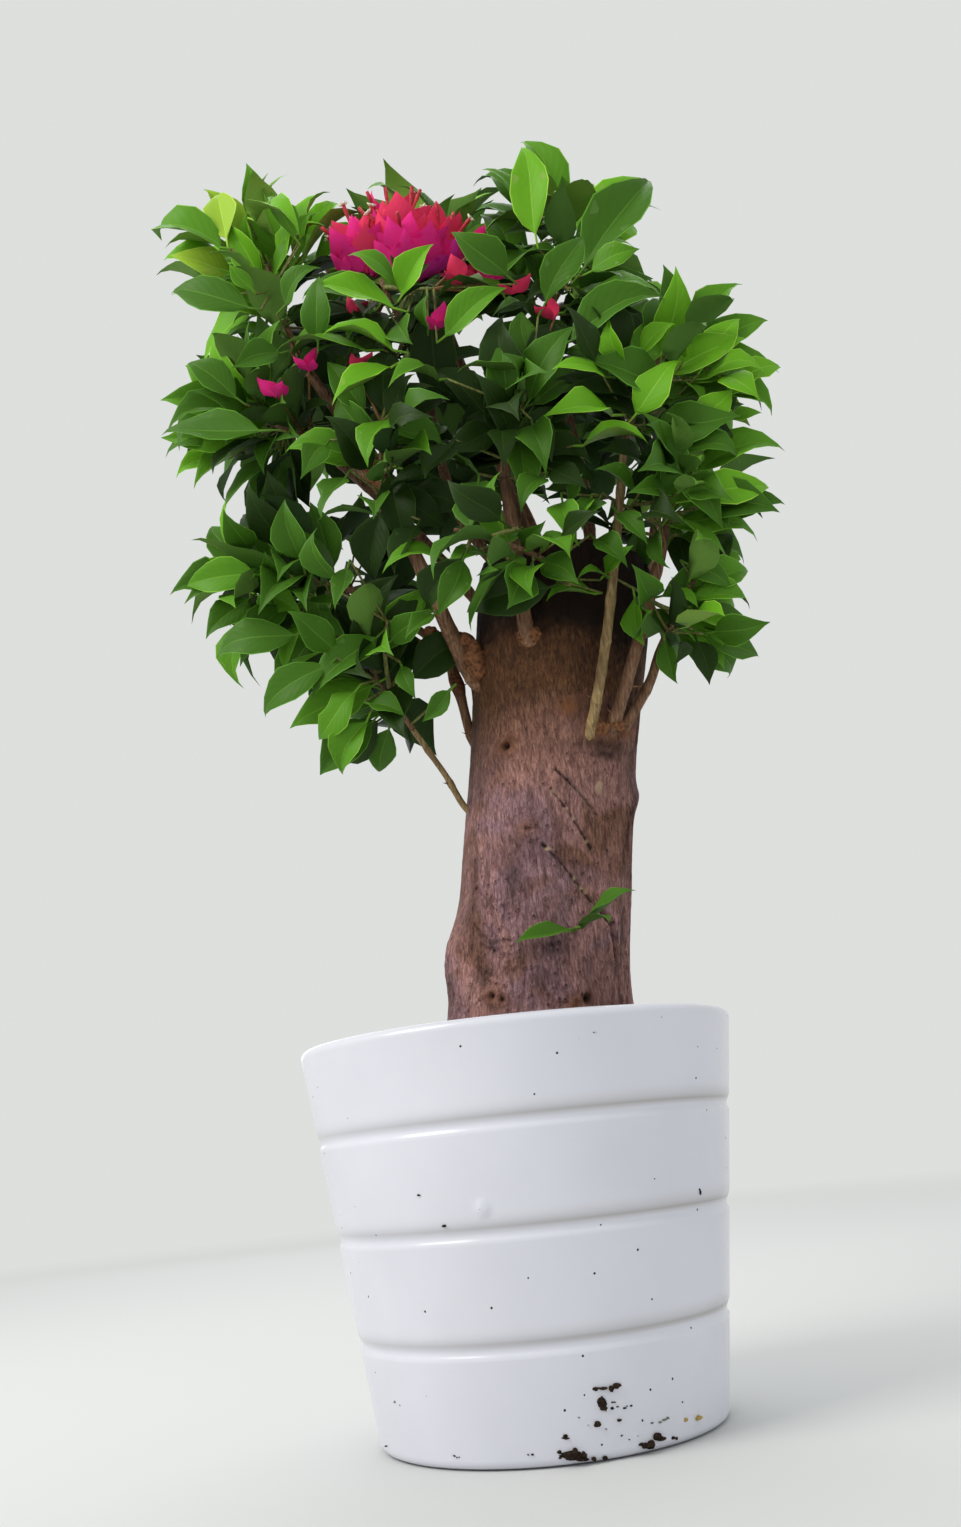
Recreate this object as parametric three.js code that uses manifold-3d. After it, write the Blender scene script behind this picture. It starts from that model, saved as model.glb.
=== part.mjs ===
// Bougainvillea bonsai: a thick leaning stump with a level cut top, whose boughs carry masses of leaves
// and one double head of bloom, in a round glazed pot filled with soil.
// Millimetres, +Z up. The origin is the centre of the pot's flat underside, and -Y is the front.
import * as THREE from 'three';
import { mergeVertices } from 'three/addons/utils/BufferGeometryUtils.js';
import Module from 'manifold-3d';

const wasm = await Module();
wasm.setup();

// Clearance between pieces that touch, and the step under which two vertices are one
const GAP = 0.3;
const WELD = 1e-4;

// Pot: a cone wall with a rounded lip and three shallow grooves
const POT_HEIGHT = 176;
const POT_RIM_RADIUS = 105;
const POT_BASE_RADIUS = 78.75;
const POT_WALL = 7;
const POT_FLOOR = 9;
const POT_FOOT_ROUND = 4;
const POT_SEGMENTS = 32;
const GROOVE_HEIGHTS = [46, 91, 134.5];
const GROOVE_HALF_WIDTH = 3.4;
const GROOVE_DEPTH = 1.8;
const SOIL_HEIGHT = 164;

// Trunk: it leans towards +X, flares at the soil and swells under its cut top
const TRUNK_FOOT = SOIL_HEIGHT + GAP;
const TRUNK_FOOT_X = 9.6;
const TRUNK_LEAN = 0.1735;
const TRUNK_RADIUS = 43.2;
const TRUNK_TOP = 418;
const TRUNK_TOP_SLOPE = -0.13;
const TRUNK_HOLLOW = 7;
const FLARE = { swell: 10.5, reach: 14, roots: 5, share: 0.22 };
const TOP_SWELL = { swell: 3.6, from: 300, to: 410 };
const RIBS = [{ waves: 4, depth: 0.7, twist: 0.012 }, { waves: 7, depth: 0.45, twist: -0.02 }];
const TRUNK_SIDES = 24;
const TRUNK_STEPS = 16;

// Burrs, knots and bough collars: degrees round the trunk from +X, height, swell and spread
const BURRS = [
  { facing: 184, height: 215, swell: 3.4, spread: 17 },
  { facing: 234, height: 193, swell: 3.5, spread: 8 },
  { facing: 289, height: 188, swell: 2.5, spread: 9 },
  { facing: 287, height: 217, swell: 2, spread: 8 },
  { facing: 252, height: 266, swell: 2.8, spread: 8 },
  { facing: 234, height: 307, swell: 2.4, spread: 6 },
  { facing: 358, height: 290, swell: 2.2, spread: 7 },
  { facing: 204, height: 357, swell: 6, spread: 13 },
  { facing: 249, height: 366, swell: 4, spread: 10 },
  { facing: 305, height: 313, swell: 4, spread: 13 },
  { facing: 60, height: 250, swell: 3, spread: 14 },
  { facing: 120, height: 345, swell: 4, spread: 16 },
];

// Boughs on the trunk: the place of the root, the way, the tip, and the radius at both ends
const BOUGH_SIDES = 5;
const BOUGH_STEPS = 5;
const COLLAR = { swell: 0.3, reach: 0.12 };
const ROOT_DEPTH = 11;
const BOUGHS = {
  bough_left: {
    facing: 204, height: 358, way: [[-22, -32, 412], [-46, -28, 484]], tip: [-76, -18, 549],
    radii: [6.2, 2.8],
  },
  bough_left_back: {
    facing: 172, height: 330, way: [[-18, 5, 384]], tip: [-60, -1, 419],
    radii: [3.6, 2],
  },
  bough_low_left: {
    facing: 183, height: 291, way: [[-22, -5, 311]], tip: [-36, -11, 335],
    radii: [1.9, 1.5],
  },
  bough_front: {
    facing: 249, height: 367, way: [[26, -51, 401]], tip: [25, -50, 452],
    radii: [5, 3.2],
  },
  bough_right_inner: {
    facing: 292, height: 315, way: [[67, -51, 365]], tip: [88, -46, 462],
    radii: [3.4, 2.3],
  },
  bough_right_back: {
    facing: 320, height: 320, way: [[86, -28, 340]], tip: [93, -29, 355],
    radii: [3.3, 2.4],
  },
  bough_right_outer: {
    facing: 306, height: 316, way: [[81, -42, 356]], tip: [100, -37, 405],
    radii: [4.4, 2.8],
  },
  bough_back_low: {
    facing: 150, height: 372, way: [[-22, 46, 398]], tip: [-52, 56, 428],
    radii: [3.8, 2.4],
  },
  bough_back_left: {
    facing: 128, height: 398, way: [[-24, 50, 474]], tip: [-74, 60, 540],
    radii: [4.6, 2.6],
  },
  bough_back_right: {
    facing: 40, height: 392, way: [[112, 46, 458]], tip: [120, 56, 504],
    radii: [4.6, 2.8],
  },
  bough_back: {
    facing: 88, height: 402, way: [[50, 62, 450]], tip: [42, 68, 488],
    radii: [4.2, 2.8],
  },
};

// Boughs that rise from the cut top: degrees round it and the share of its radius stand for the height
const TOP_BOUGHS = {
  bough_centre_left: {
    facing: 165, share: 0.72, way: [[-3, 10, 474]], tip: [-12, -18, 530],
    radii: [4.4, 2.6],
  },
  bough_top_right: {
    facing: 20, share: 0.35, way: [[70, 0, 470]], tip: [62, -9, 548],
    radii: [4.8, 2.8],
  },
  bough_back_top: {
    facing: 110, share: 0.55, way: [[26, 34, 510]], tip: [6, 46, 606],
    radii: [4.6, 2.6],
  },
};

// Boughs that fork off another one, at a share of its length
const FORKS = {
  bough_mid_left: {
    parent: 'bough_left', share: 0.68, way: [[-60, -28, 489]], tip: [-78, -22, 506],
    radii: [3, 2.2],
  },
  bough_bloom: {
    parent: 'bough_left', share: 0.86, way: [[-56, -16, 548]], tip: [-34, -17, 588],
    radii: [2.6, 1.9],
  },
  bough_inner_left: {
    parent: 'bough_left', share: 0.52, way: [[-32, -38, 438]], tip: [-36, -40, 448],
    radii: [2.6, 2],
  },
};

// Masses of leaves: the bough they grow from, the middle and reach of their space, the seed and the number
// of shoots, and the tips of the leading leaves that stand out furthest
const MASSES = {
  foliage_top_left: {
    bough: 'bough_left', centre: [-94, -8, 620], reach: [66, 60, 66], seed: 51, shoots: 9, goals: 20,
    leaders: [[-153, -20, 646], [-124, -5, 688], [-151, -25, 605], [-98, 5, 690]],
  },
  foliage_mid_left: {
    bough: 'bough_mid_left', centre: [-102, -14, 522], reach: [62, 62, 56], seed: 38, shoots: 8, goals: 16,
    leaders: [[-146, -15, 565], [-161, -20, 517], [-111, -30, 470]],
  },
  foliage_low_left: {
    bough: 'bough_left_back', centre: [-96, -8, 424], reach: [60, 62, 58], seed: 52, shoots: 8, goals: 15,
    leaders: [[-151, -10, 428], [-133, -25, 375], [-122, 10, 480]],
  },
  foliage_low_centre: {
    bough: 'bough_low_left', centre: [-54, -14, 368], reach: [56, 54, 58], seed: 51, shoots: 7, goals: 15,
    leaders: [[-109, -30, 344], [-73, -20, 312], [-45, 0, 326]],
  },
  foliage_inner_left: {
    bough: 'bough_inner_left', centre: [-36, -52, 470], reach: [54, 52, 62], seed: 44, shoots: 6, goals: 16,
    leaders: [],
  },
  foliage_top_centre: {
    bough: 'bough_centre_left', centre: [-24, -42, 562], reach: [62, 54, 58], seed: 40, shoots: 7, goals: 17,
    leaders: [[-68, -45, 587], [3, -52, 604]],
  },
  foliage_top_right: {
    bough: 'bough_top_right', centre: [74, -14, 606], reach: [64, 62, 84], seed: 46, shoots: 10, goals: 18,
    leaders: [[58, -15, 694], [131, -10, 661], [117, -20, 606], [123, -40, 558]],
  },
  foliage_right_upper: {
    bough: 'bough_right_inner', centre: [110, -42, 508], reach: [72, 60, 56], seed: 32, shoots: 9, goals: 18,
    leaders: [[170, -10, 560], [179, -35, 507], [170, -20, 494], [93, -45, 546]],
  },
  foliage_right_mid: {
    bough: 'bough_right_outer', centre: [108, -38, 440], reach: [62, 58, 48], seed: 57, shoots: 6, goals: 14,
    leaders: [[159, -45, 434], [136, -30, 403]],
  },
  foliage_right_low: {
    bough: 'bough_right_back', centre: [106, -34, 376], reach: [50, 54, 48], seed: 2, shoots: 6, goals: 16,
    leaders: [[142, -30, 376], [144, -30, 348], [98, -50, 331]],
  },
  foliage_centre: {
    bough: 'bough_front', centre: [38, -56, 488], reach: [54, 54, 56], seed: 33, shoots: 7, goals: 17,
    leaders: [],
  },
  foliage_front: {
    facing: 262, height: 402, centre: [12, -76, 404], reach: [66, 36, 40], seed: 60, shoots: 6, goals: 14,
    leaders: [[-41, -75, 393], [60, -88, 359]],
  },
  foliage_back_low: {
    bough: 'bough_back_low', centre: [-80, 58, 452], reach: [66, 60, 66], seed: 44, shoots: 7, goals: 15,
    leaders: [],
  },
  foliage_back_left: {
    bough: 'bough_back_left', centre: [-92, 64, 588], reach: [66, 60, 72], seed: 55, shoots: 8, goals: 16,
    leaders: [],
  },
  foliage_back_top: {
    bough: 'bough_back_top', centre: [-2, 40, 652], reach: [70, 66, 66], seed: 45, shoots: 9, goals: 15,
    leaders: [[-25, 10, 716], [-50, 15, 701], [17, 15, 688]],
  },
  foliage_back_right: {
    bough: 'bough_back_right', centre: [112, 60, 552], reach: [70, 62, 74], seed: 13, shoots: 9, goals: 14,
    leaders: [],
  },
  foliage_back: {
    bough: 'bough_back', centre: [22, 76, 538], reach: [68, 58, 64], seed: 43, shoots: 8, goals: 13,
    leaders: [],
  },
};

// Bloom: heads of bracts, each a ball on its own twig
const BLOOM = {
  bough: 'bough_bloom', centre: [-18, -20, 632], reach: [56, 46, 42], seed: 67, twigs: [0.3, 0.6, 0.9],
  heads: [
    { centre: [-34, -20, 628], radius: 26, bracts: 17 },
    { centre: [2, -18, 634], radius: 24, bracts: 15 },
    { centre: [30, -10, 608], radius: 14, bracts: 6 },
  ],
};

// Young sprout low on the trunk
const SPROUT = {
  facing: 287, height: 217, sink: 5, length: 13, radius: 1.6, sides: 5,
  leaders: [[5, -75, 209], [59, -70, 227], [45, -80, 212]],
};

// Leaf: length with the stalk, then shares of it for the width, its place and the fold, and the thickness
const LEAF_LENGTH = 50;
const LEAF_WIDTH = 0.58;
const LEAF_WIDEST = 0.46;
const LEAF_FOLD = 0.07;
const LEAF_MIDDLE = 0.55;
const LEAF_THICKNESS = 1.6;

// Leaf lengths as shares of the usual one: the least and most that grow, and those wished for
const LEAF_HELD = [0.72, 1.18];
const LEAF_WISHED = [0.86, 1.16];
const BRACT_SHARES = [0.85, 1.15];

// Stems and twigs: radii at both ends, sides, steps, and shares of the length
const TWIG_RADII = [1.5, 0.9];
const TWIG_SIDES = 3;
const TRUNK_STEM = { sink: 6, radius: 3 };
const STEM_TAPER = 0.5;
const STEM_BEND = 0.5;
const STEM_REACH = 0.35;
const STEM_BARE = 0.2;
const STEM_STEPS = 3;
const NODE_SHARES = [0.15, 0.35, 0.55, 0.75, 0.9];
const SHOOT_END = 0.96;
const SHOOT_LEAF = [0.5, 0.7];
const SHOOT_PULLS = [0.98, 0.86, 0.74, 0.62, 0.5];

// Room: what leaves and twigs keep clear of, how far past the reach the leaves go, and where both are tested
const CELL_MARGIN = 0.25;
const LIMB_MARGIN = 3.4;
const TWIG_MARGIN = 1.5;
const OWN_TWIG_MARGIN = 1.2;
const LEAF_SPACING = 13;
const STRETCH = { twig: 1, leaf: 1.08, bract: 1.1, leader: 1.3 };
const SPHERE_STEP = 3;
const TWIG_TESTS = [0.4, 0.7, 1];
const LEAF_TESTS = [0.18, 0.32, 0.46, 0.6, 0.74, 0.88, 1];
const LEAF_TEST_SIDES = [-1, -0.5, 0, 0.5, 1];
const STALK = 0.3;

// Goals of the leaves: from where to where in the space, how far each is pulled in, and the nodes tried
const GOAL_SHARES = [0.35, 0.85];
const GOAL_PULLS = [1, 0.88, 0.76, 0.64, 0.52, 0.4];
const LEAF_TRIES = 12;
const BACKWARDS = { from: 0.2, cost: 25 };
const PLASTIC = 1.2207440846;
const GOLDEN_ANGLE = Math.PI * (3 - Math.sqrt(5));

// The way leaves face: to the light, outwards from the middle of the crown, and a little by chance
const UP = new THREE.Vector3(0, 0, 1);
const LIGHT = new THREE.Vector3(0, -0.75, 0.35);
const CROWN_MIDDLE = new THREE.Vector3(30, 10, 500);
const OUTWARD = 0.8;
const STRAY = 0.5;

// A repeatable number from 0 to 1: what a large sine leaves behind the point
function chance(seed, first, second) {
  const large = Math.sin(seed * 12.9898 + first * 78.233 + second * 37.719) * 43758.5453;
  return large - Math.floor(large);
}

function vector(list) {
  return new THREE.Vector3(...list);
}

function smooth(from, to, value) {
  return THREE.MathUtils.smoothstep(value, from, to);
}

function between([from, to], share) {
  return THREE.MathUtils.lerp(from, to, share);
}

// Solids and their booleans
function solidOf(geometry) {
  const plain = geometry.clone();
  plain.deleteAttribute('normal');
  plain.deleteAttribute('uv');
  const welded = mergeVertices(plain, WELD);
  return new wasm.Manifold(new wasm.Mesh({
    numProp: 3,
    vertProperties: new Float32Array(welded.attributes.position.array),
    triVerts: new Uint32Array(welded.index.array),
  }));
}

function geometryOf(solid) {
  const mesh = solid.getMesh();
  const geometry = new THREE.BufferGeometry();
  geometry.setAttribute('position', new THREE.BufferAttribute(new Float32Array(mesh.vertProperties), 3));
  geometry.setIndex(new THREE.BufferAttribute(new Uint32Array(mesh.triVerts), 1));
  geometry.computeVertexNormals();
  return geometry;
}

// A solid without its loose scraps, and with any sealed hollow filled
function mainBody(solid) {
  return solid.decompose().reduce((largest, body) => (body.volume() > largest.volume() ? body : largest));
}

function fuse(solids) {
  return mainBody(solids.reduce((whole, solid) => whole.add(solid)));
}

// A closed tube along a curve: a cylinder bent so that its axis follows the curve, with its own radius
// at each share of the length
function tube(curve, radiusAt, sides, steps) {
  const geometry = new THREE.CylinderGeometry(1, 1, 1, sides, steps);
  const position = geometry.attributes.position;
  const chord = curve.getPoint(1).sub(curve.getPoint(0)).normalize();
  const reference = Math.abs(chord.z) < 0.8 ? UP : new THREE.Vector3(1, 0, 0);
  for (let i = 0; i < position.count; i += 1) {
    const share = position.getY(i) + 0.5;
    const along = curve.getTangent(share);
    const across = along.clone().cross(reference).normalize();
    const beside = across.clone().cross(along);
    const radius = radiusAt(share);
    const place = curve.getPoint(share)
      .addScaledVector(across, position.getX(i) * radius)
      .addScaledVector(beside, position.getZ(i) * radius);
    position.setXYZ(i, place.x, place.y, place.z);
  }
  return geometry;
}

// Pot
function potRadius(height) {
  return THREE.MathUtils.lerp(POT_BASE_RADIUS, POT_RIM_RADIUS, height / POT_HEIGHT);
}

function arc(centreX, centreZ, radius, fromDegrees, toDegrees, steps) {
  return Array.from({ length: steps + 1 }, (_, i) => {
    const angle = THREE.MathUtils.degToRad(THREE.MathUtils.lerp(fromDegrees, toDegrees, i / steps));
    return new THREE.Vector2(centreX + radius * Math.cos(angle), centreZ + radius * Math.sin(angle));
  });
}

function groove(height) {
  const shares = [-1, 0, 1];
  return shares.map((share) => {
    const z = height + share * GROOVE_HALF_WIDTH;
    const depth = GROOVE_DEPTH * Math.cos(share * Math.PI / 2) ** 2;
    return new THREE.Vector2(potRadius(z) - depth, z);
  });
}

function pot() {
  const lip = POT_WALL / 2;
  const lipHeight = POT_HEIGHT - lip;
  const profile = [
    new THREE.Vector2(0, 0),
    ...arc(potRadius(POT_FOOT_ROUND) - POT_FOOT_ROUND, POT_FOOT_ROUND, POT_FOOT_ROUND, -90, 0, 2),
    ...GROOVE_HEIGHTS.flatMap(groove),
    ...arc(potRadius(lipHeight) - lip, lipHeight, lip, 0, 180, 4),
    new THREE.Vector2(potRadius(POT_FLOOR) - POT_WALL, POT_FLOOR),
    new THREE.Vector2(0, POT_FLOOR),
  ];
  return new THREE.LatheGeometry(profile, POT_SEGMENTS).rotateX(Math.PI / 2);
}

// Soil: it fills the pot to just under the lip
function soil() {
  const inner = POT_WALL + GAP;
  const profile = [
    new THREE.Vector2(0, POT_FLOOR + GAP),
    new THREE.Vector2(potRadius(POT_FLOOR) - inner, POT_FLOOR + GAP),
    new THREE.Vector2(potRadius(SOIL_HEIGHT) - inner, SOIL_HEIGHT),
    new THREE.Vector2(0, SOIL_HEIGHT),
  ];
  return new THREE.LatheGeometry(profile, POT_SEGMENTS).rotateX(Math.PI / 2);
}

// Trunk
function trunkX(height) {
  return TRUNK_FOOT_X + TRUNK_LEAN * (height - TRUNK_FOOT);
}

function trunkTop(x) {
  return TRUNK_TOP + TRUNK_TOP_SLOPE * (x - trunkX(TRUNK_TOP));
}

function trunkRadius(angle, height) {
  const rise = height - TRUNK_FOOT;
  let radius = TRUNK_RADIUS + TOP_SWELL.swell * smooth(TOP_SWELL.from, TOP_SWELL.to, height);
  radius += FLARE.swell * Math.exp(-rise / FLARE.reach) * (1 + FLARE.share * Math.cos(FLARE.roots * angle));
  for (const rib of RIBS) {
    radius += rib.depth * Math.cos(rib.waves * angle + rib.twist * rise);
  }
  for (const burr of BURRS) {
    const turn = angle - THREE.MathUtils.degToRad(burr.facing);
    const around = Math.atan2(Math.sin(turn), Math.cos(turn)) * TRUNK_RADIUS;
    radius += burr.swell * Math.exp(-(around ** 2 + (height - burr.height) ** 2) / burr.spread ** 2);
  }
  return radius;
}

// The trunk, or with some growth the space that keeps clear of it
function trunk(growth = 0) {
  const geometry = new THREE.CylinderGeometry(1, 1, 1, TRUNK_SIDES, TRUNK_STEPS);
  const position = geometry.attributes.position;
  for (let i = 0; i < position.count; i += 1) {
    const share = position.getY(i) + 0.5;
    const across = Math.hypot(position.getX(i), position.getZ(i));
    const angle = Math.atan2(-position.getZ(i), position.getX(i));
    const level = THREE.MathUtils.lerp(TRUNK_FOOT, TRUNK_TOP, share);
    const radius = (trunkRadius(angle, level) + growth) * across;
    const x = trunkX(level) + radius * Math.cos(angle);
    const dip = share === 1 ? TRUNK_HOLLOW * (1 - across) : 0;
    const height = THREE.MathUtils.lerp(TRUNK_FOOT - growth, trunkTop(x) + growth, share) - dip;
    position.setXYZ(i, x, radius * Math.sin(angle), height);
  }
  return geometry;
}

function onTrunk(facing, height, inside = 0) {
  const angle = THREE.MathUtils.degToRad(facing);
  const radius = trunkRadius(angle, height) - inside;
  return new THREE.Vector3(trunkX(height) + radius * Math.cos(angle), radius * Math.sin(angle), height);
}

// Boughs: each is one tapering limb along a smooth curve
function boughCurve(points) {
  return new THREE.CatmullRomCurve3(points, false, 'catmullrom', 0.5);
}

function sideBough({ facing, height, way, tip }) {
  const root = [onTrunk(facing, height, ROOT_DEPTH), onTrunk(facing, height)];
  return boughCurve([...root, ...way.map(vector), vector(tip)]);
}

function topBough({ facing, share, way, tip }) {
  const edge = onTrunk(facing, TRUNK_TOP);
  const x = THREE.MathUtils.lerp(trunkX(TRUNK_TOP), edge.x, share);
  const y = edge.y * share;
  const depth = TRUNK_HOLLOW + ROOT_DEPTH;
  const root = new THREE.Vector3(x, y, trunkTop(x) - depth);
  return boughCurve([root, root.clone().addScaledVector(UP, depth), ...way.map(vector), vector(tip)]);
}

function forkBough({ parent, share, way, tip }, limbs) {
  return boughCurve([limbs[parent].curve.getPoint(share), ...way.map(vector), vector(tip)]);
}

function boughRadius(radii, swell) {
  return (share) => {
    const collar = 1 + swell * Math.exp(-((share / COLLAR.reach) ** 2));
    return between(radii, Math.sqrt(share)) * collar;
  };
}

function layOutLimbs() {
  const limbs = {};
  for (const [name, bough] of Object.entries(BOUGHS)) {
    const radiusAt = boughRadius(bough.radii, COLLAR.swell);
    limbs[name] = { curve: sideBough(bough), radiusAt, parent: 'trunk' };
  }
  for (const [name, bough] of Object.entries(TOP_BOUGHS)) {
    limbs[name] = { curve: topBough(bough), radiusAt: boughRadius(bough.radii, 0), parent: 'trunk' };
  }
  for (const [name, bough] of Object.entries(FORKS)) {
    const { parent } = bough;
    limbs[name] = { curve: forkBough(bough, limbs), radiusAt: boughRadius(bough.radii, 0), parent };
  }
  return limbs;
}

function boughSolid(limb, growth = 0) {
  const radiusAt = (share) => limb.radiusAt(share) + growth;
  return solidOf(tube(limb.curve, radiusAt, BOUGH_SIDES, BOUGH_STEPS));
}

// Spaces: a mass keeps to its own side of the plane between it and each neighbour, and to its own reach
const SPACES = Object.fromEntries(Object.entries({ ...MASSES, bloom: BLOOM }).map(([name, mass]) => {
  const size = (mass.reach[0] + mass.reach[1] + mass.reach[2]) / mass.reach.length;
  return [name, { centre: vector(mass.centre), reach: vector(mass.reach), size }];
}));

function insideSpace(name, point, stretch) {
  const own = SPACES[name];
  const offset = point.clone().sub(own.centre);
  if (offset.clone().divide(own.reach).length() > stretch) {
    return false;
  }
  const ownPower = offset.lengthSq() - own.size ** 2;
  return Object.entries(SPACES).every(([other, space]) => {
    if (other === name) {
      return true;
    }
    const apart = space.centre.distanceTo(own.centre);
    const otherPower = point.distanceToSquared(space.centre) - space.size ** 2;
    return (otherPower - ownPower) / (2 * apart) > CELL_MARGIN;
  });
}

// Spheres along a limb, which leaves and twigs keep clear of
function spheresAlong(curve, radiusAt) {
  const steps = Math.ceil(curve.getLength() / SPHERE_STEP);
  return Array.from({ length: steps + 1 }, (_, i) => {
    const share = i / steps;
    return { centre: curve.getPoint(share), radius: radiusAt(share) };
  });
}

const LIMBS = layOutLimbs();
const LIMB_SPHERES = Object.values(LIMBS).flatMap((limb) => spheresAlong(limb.curve, limb.radiusAt));

function clearOfLimbs(point, margin) {
  const height = Math.min(point.z, TRUNK_TOP);
  const angle = Math.atan2(point.y, point.x - trunkX(height));
  const fromAxis = Math.hypot(point.y, point.x - trunkX(height));
  if (point.z < trunkTop(point.x) + margin && fromAxis < trunkRadius(angle, height) + margin) {
    return false;
  }
  return LIMB_SPHERES.every(({ centre, radius }) => point.distanceTo(centre) > radius + margin);
}

// A leaf: its root, the way it points, the way it faces, and its length with the stalk
function makeLeaf(root, along, facing, length) {
  const face = facing.clone().addScaledVector(along, -facing.dot(along)).normalize();
  const across = along.clone().cross(face);
  return { root, along, face, across, length };
}

function leafPoint(leaf, share, side) {
  const half = leaf.length * LEAF_WIDTH / 2;
  const width = share < LEAF_WIDEST ? share / LEAF_WIDEST : (1 - share) / (1 - LEAF_WIDEST);
  return leaf.root.clone()
    .addScaledVector(leaf.along, leaf.length * share)
    .addScaledVector(leaf.across, side * half * width)
    .addScaledVector(leaf.face, Math.abs(side) * leaf.length * LEAF_FOLD * width);
}

function leafFits(name, leaf, stretch, spheres) {
  const corners = [leafPoint(leaf, 1, 0), leafPoint(leaf, LEAF_WIDEST, 1), leafPoint(leaf, LEAF_WIDEST, -1)];
  if (!corners.every((corner) => insideSpace(name, corner, stretch))) {
    return false;
  }
  return LEAF_TESTS.every((share) => LEAF_TEST_SIDES.every((side) => {
    const point = leafPoint(leaf, share, side);
    const clear = ({ centre, radius }) => point.distanceTo(centre) > radius + OWN_TWIG_MARGIN;
    return clearOfLimbs(point, LIMB_MARGIN) && (share < STALK || spheres.every(clear));
  }));
}

// The leaf's solid: an octahedron drawn out to the root, the tip and both edges
function leafSolid(leaf) {
  const geometry = new THREE.OctahedronGeometry(1);
  const position = geometry.attributes.position;
  for (let i = 0; i < position.count; i += 1) {
    const end = position.getY(i);
    const share = end > 0 ? THREE.MathUtils.lerp(LEAF_WIDEST, 1, end) : LEAF_WIDEST * (1 + end);
    const place = leafPoint(leaf, share, position.getX(i));
    place.addScaledVector(leaf.face, position.getZ(i) * LEAF_THICKNESS / 2);
    position.setXYZ(i, place.x, place.y, place.z);
  }
  return solidOf(geometry);
}

// The point at a share of a curve, on the straight pieces that its tube is made of
function onTube(curve, share, steps) {
  const before = Math.min(Math.floor(share * steps), steps - 1);
  const after = curve.getPoint((before + 1) / steps);
  return curve.getPoint(before / steps).lerp(after, share * steps - before);
}

// The point on a ball that is number i of a number of points spread evenly over it
function spread(i, count, turn) {
  const height = 1 - (2 * i + 1) / count;
  const ring = Math.sqrt(1 - height ** 2);
  const angle = GOLDEN_ANGLE * i + turn;
  return new THREE.Vector3(ring * Math.cos(angle), ring * Math.sin(angle), height);
}

function twigRadius(share) {
  return between(TWIG_RADII, share);
}

function twigFits(name, twig) {
  return TWIG_TESTS.every((share) => {
    const point = twig.getPoint(share);
    return insideSpace(name, point, STRETCH.twig) && clearOfLimbs(point, TWIG_MARGIN);
  });
}

// The stem of a mass: it goes on from the tip of its bough, or from the trunk, and past the middle
function stemOf(mass) {
  const centre = vector(mass.centre);
  const fromTrunk = mass.bough === undefined;
  const limb = LIMBS[mass.bough];
  const start = fromTrunk ? onTrunk(mass.facing, mass.height) : limb.curve.getPoint(1);
  const inside = fromTrunk && onTrunk(mass.facing, mass.height, 1);
  const along = fromTrunk ? start.clone().sub(inside) : limb.curve.getTangent(1);
  const root = start.clone().addScaledVector(along, fromTrunk ? -TRUNK_STEM.sink : GAP);
  const bend = root.clone().addScaledVector(along, STEM_BEND * root.distanceTo(centre));
  const onward = centre.clone().sub(root).normalize();
  const end = centre.clone().addScaledVector(onward, STEM_REACH * mass.reach[0]);
  const radius = fromTrunk ? TRUNK_STEM.radius : limb.radiusAt(1);
  return { curve: new THREE.QuadraticBezierCurve3(root, bend, end), radii: [radius, STEM_TAPER * radius] };
}

function leafFacing(root, seed, number) {
  const outward = root.clone().sub(CROWN_MIDDLE).normalize();
  const stray = vector([5, 6, 7].map((counter) => chance(seed, number, counter) - 0.5));
  return LIGHT.clone().addScaledVector(outward, OUTWARD).addScaledVector(stray, STRAY);
}

// The shoots of a mass: to the leading leaves and evenly all round. They leave the stem one after another,
// the ones that point back first
function shootsOf(name, mass, stem) {
  const centre = vector(mass.centre);
  const chord = stem.curve.getPoint(1).sub(stem.curve.getPoint(0)).normalize();
  const turn = 2 * Math.PI * chance(mass.seed, 0, 3);
  const even = mass.shoots - mass.leaders.length;
  const rounds = Array.from({ length: even }, (_, i) => {
    const length = LEAF_LENGTH * between(SHOOT_LEAF, chance(mass.seed, i, 4));
    return { round: spread(i, even, turn).multiply(vector(mass.reach)), length, pulls: SHOOT_PULLS };
  });
  const leading = mass.leaders.map((leader) => (
    { round: vector(leader).sub(centre), length: LEAF_LENGTH, pulls: [1] }));
  const forward = (plan) => plan.round.clone().normalize().dot(chord);
  const plans = [...leading, ...rounds].sort((one, other) => forward(one) - forward(other));
  const shoots = [];
  plans.forEach(({ round, length, pulls }, order) => {
    const start = onTube(stem.curve, STEM_BARE + (1 - STEM_BARE) * (order + 0.5) / plans.length, STEM_STEPS);
    for (const pull of pulls) {
      const tip = centre.clone().addScaledVector(round, pull);
      const way = tip.clone().sub(start).normalize();
      const curve = new THREE.LineCurve3(start, tip.clone().addScaledVector(way, -length));
      if (twigFits(name, curve)) {
        shoots.push({ curve, tip, way, leads: pulls.length === 1 });
        break;
      }
    }
  });
  return shoots;
}

// Whether the edge from one point to another passes through a triangle
function piercing(from, to, triangle) {
  const line = to.clone().sub(from);
  const ray = new THREE.Ray(from, line.clone().normalize());
  const hit = ray.intersectTriangle(...triangle, false, new THREE.Vector3());
  return hit !== null && hit.distanceTo(from) < line.length();
}

function outline(leaf) {
  const corners = [[0, 0], [LEAF_WIDEST, 1], [1, 0], [LEAF_WIDEST, -1]];
  return corners.map(([share, side]) => leafPoint(leaf, share, side));
}

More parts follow.
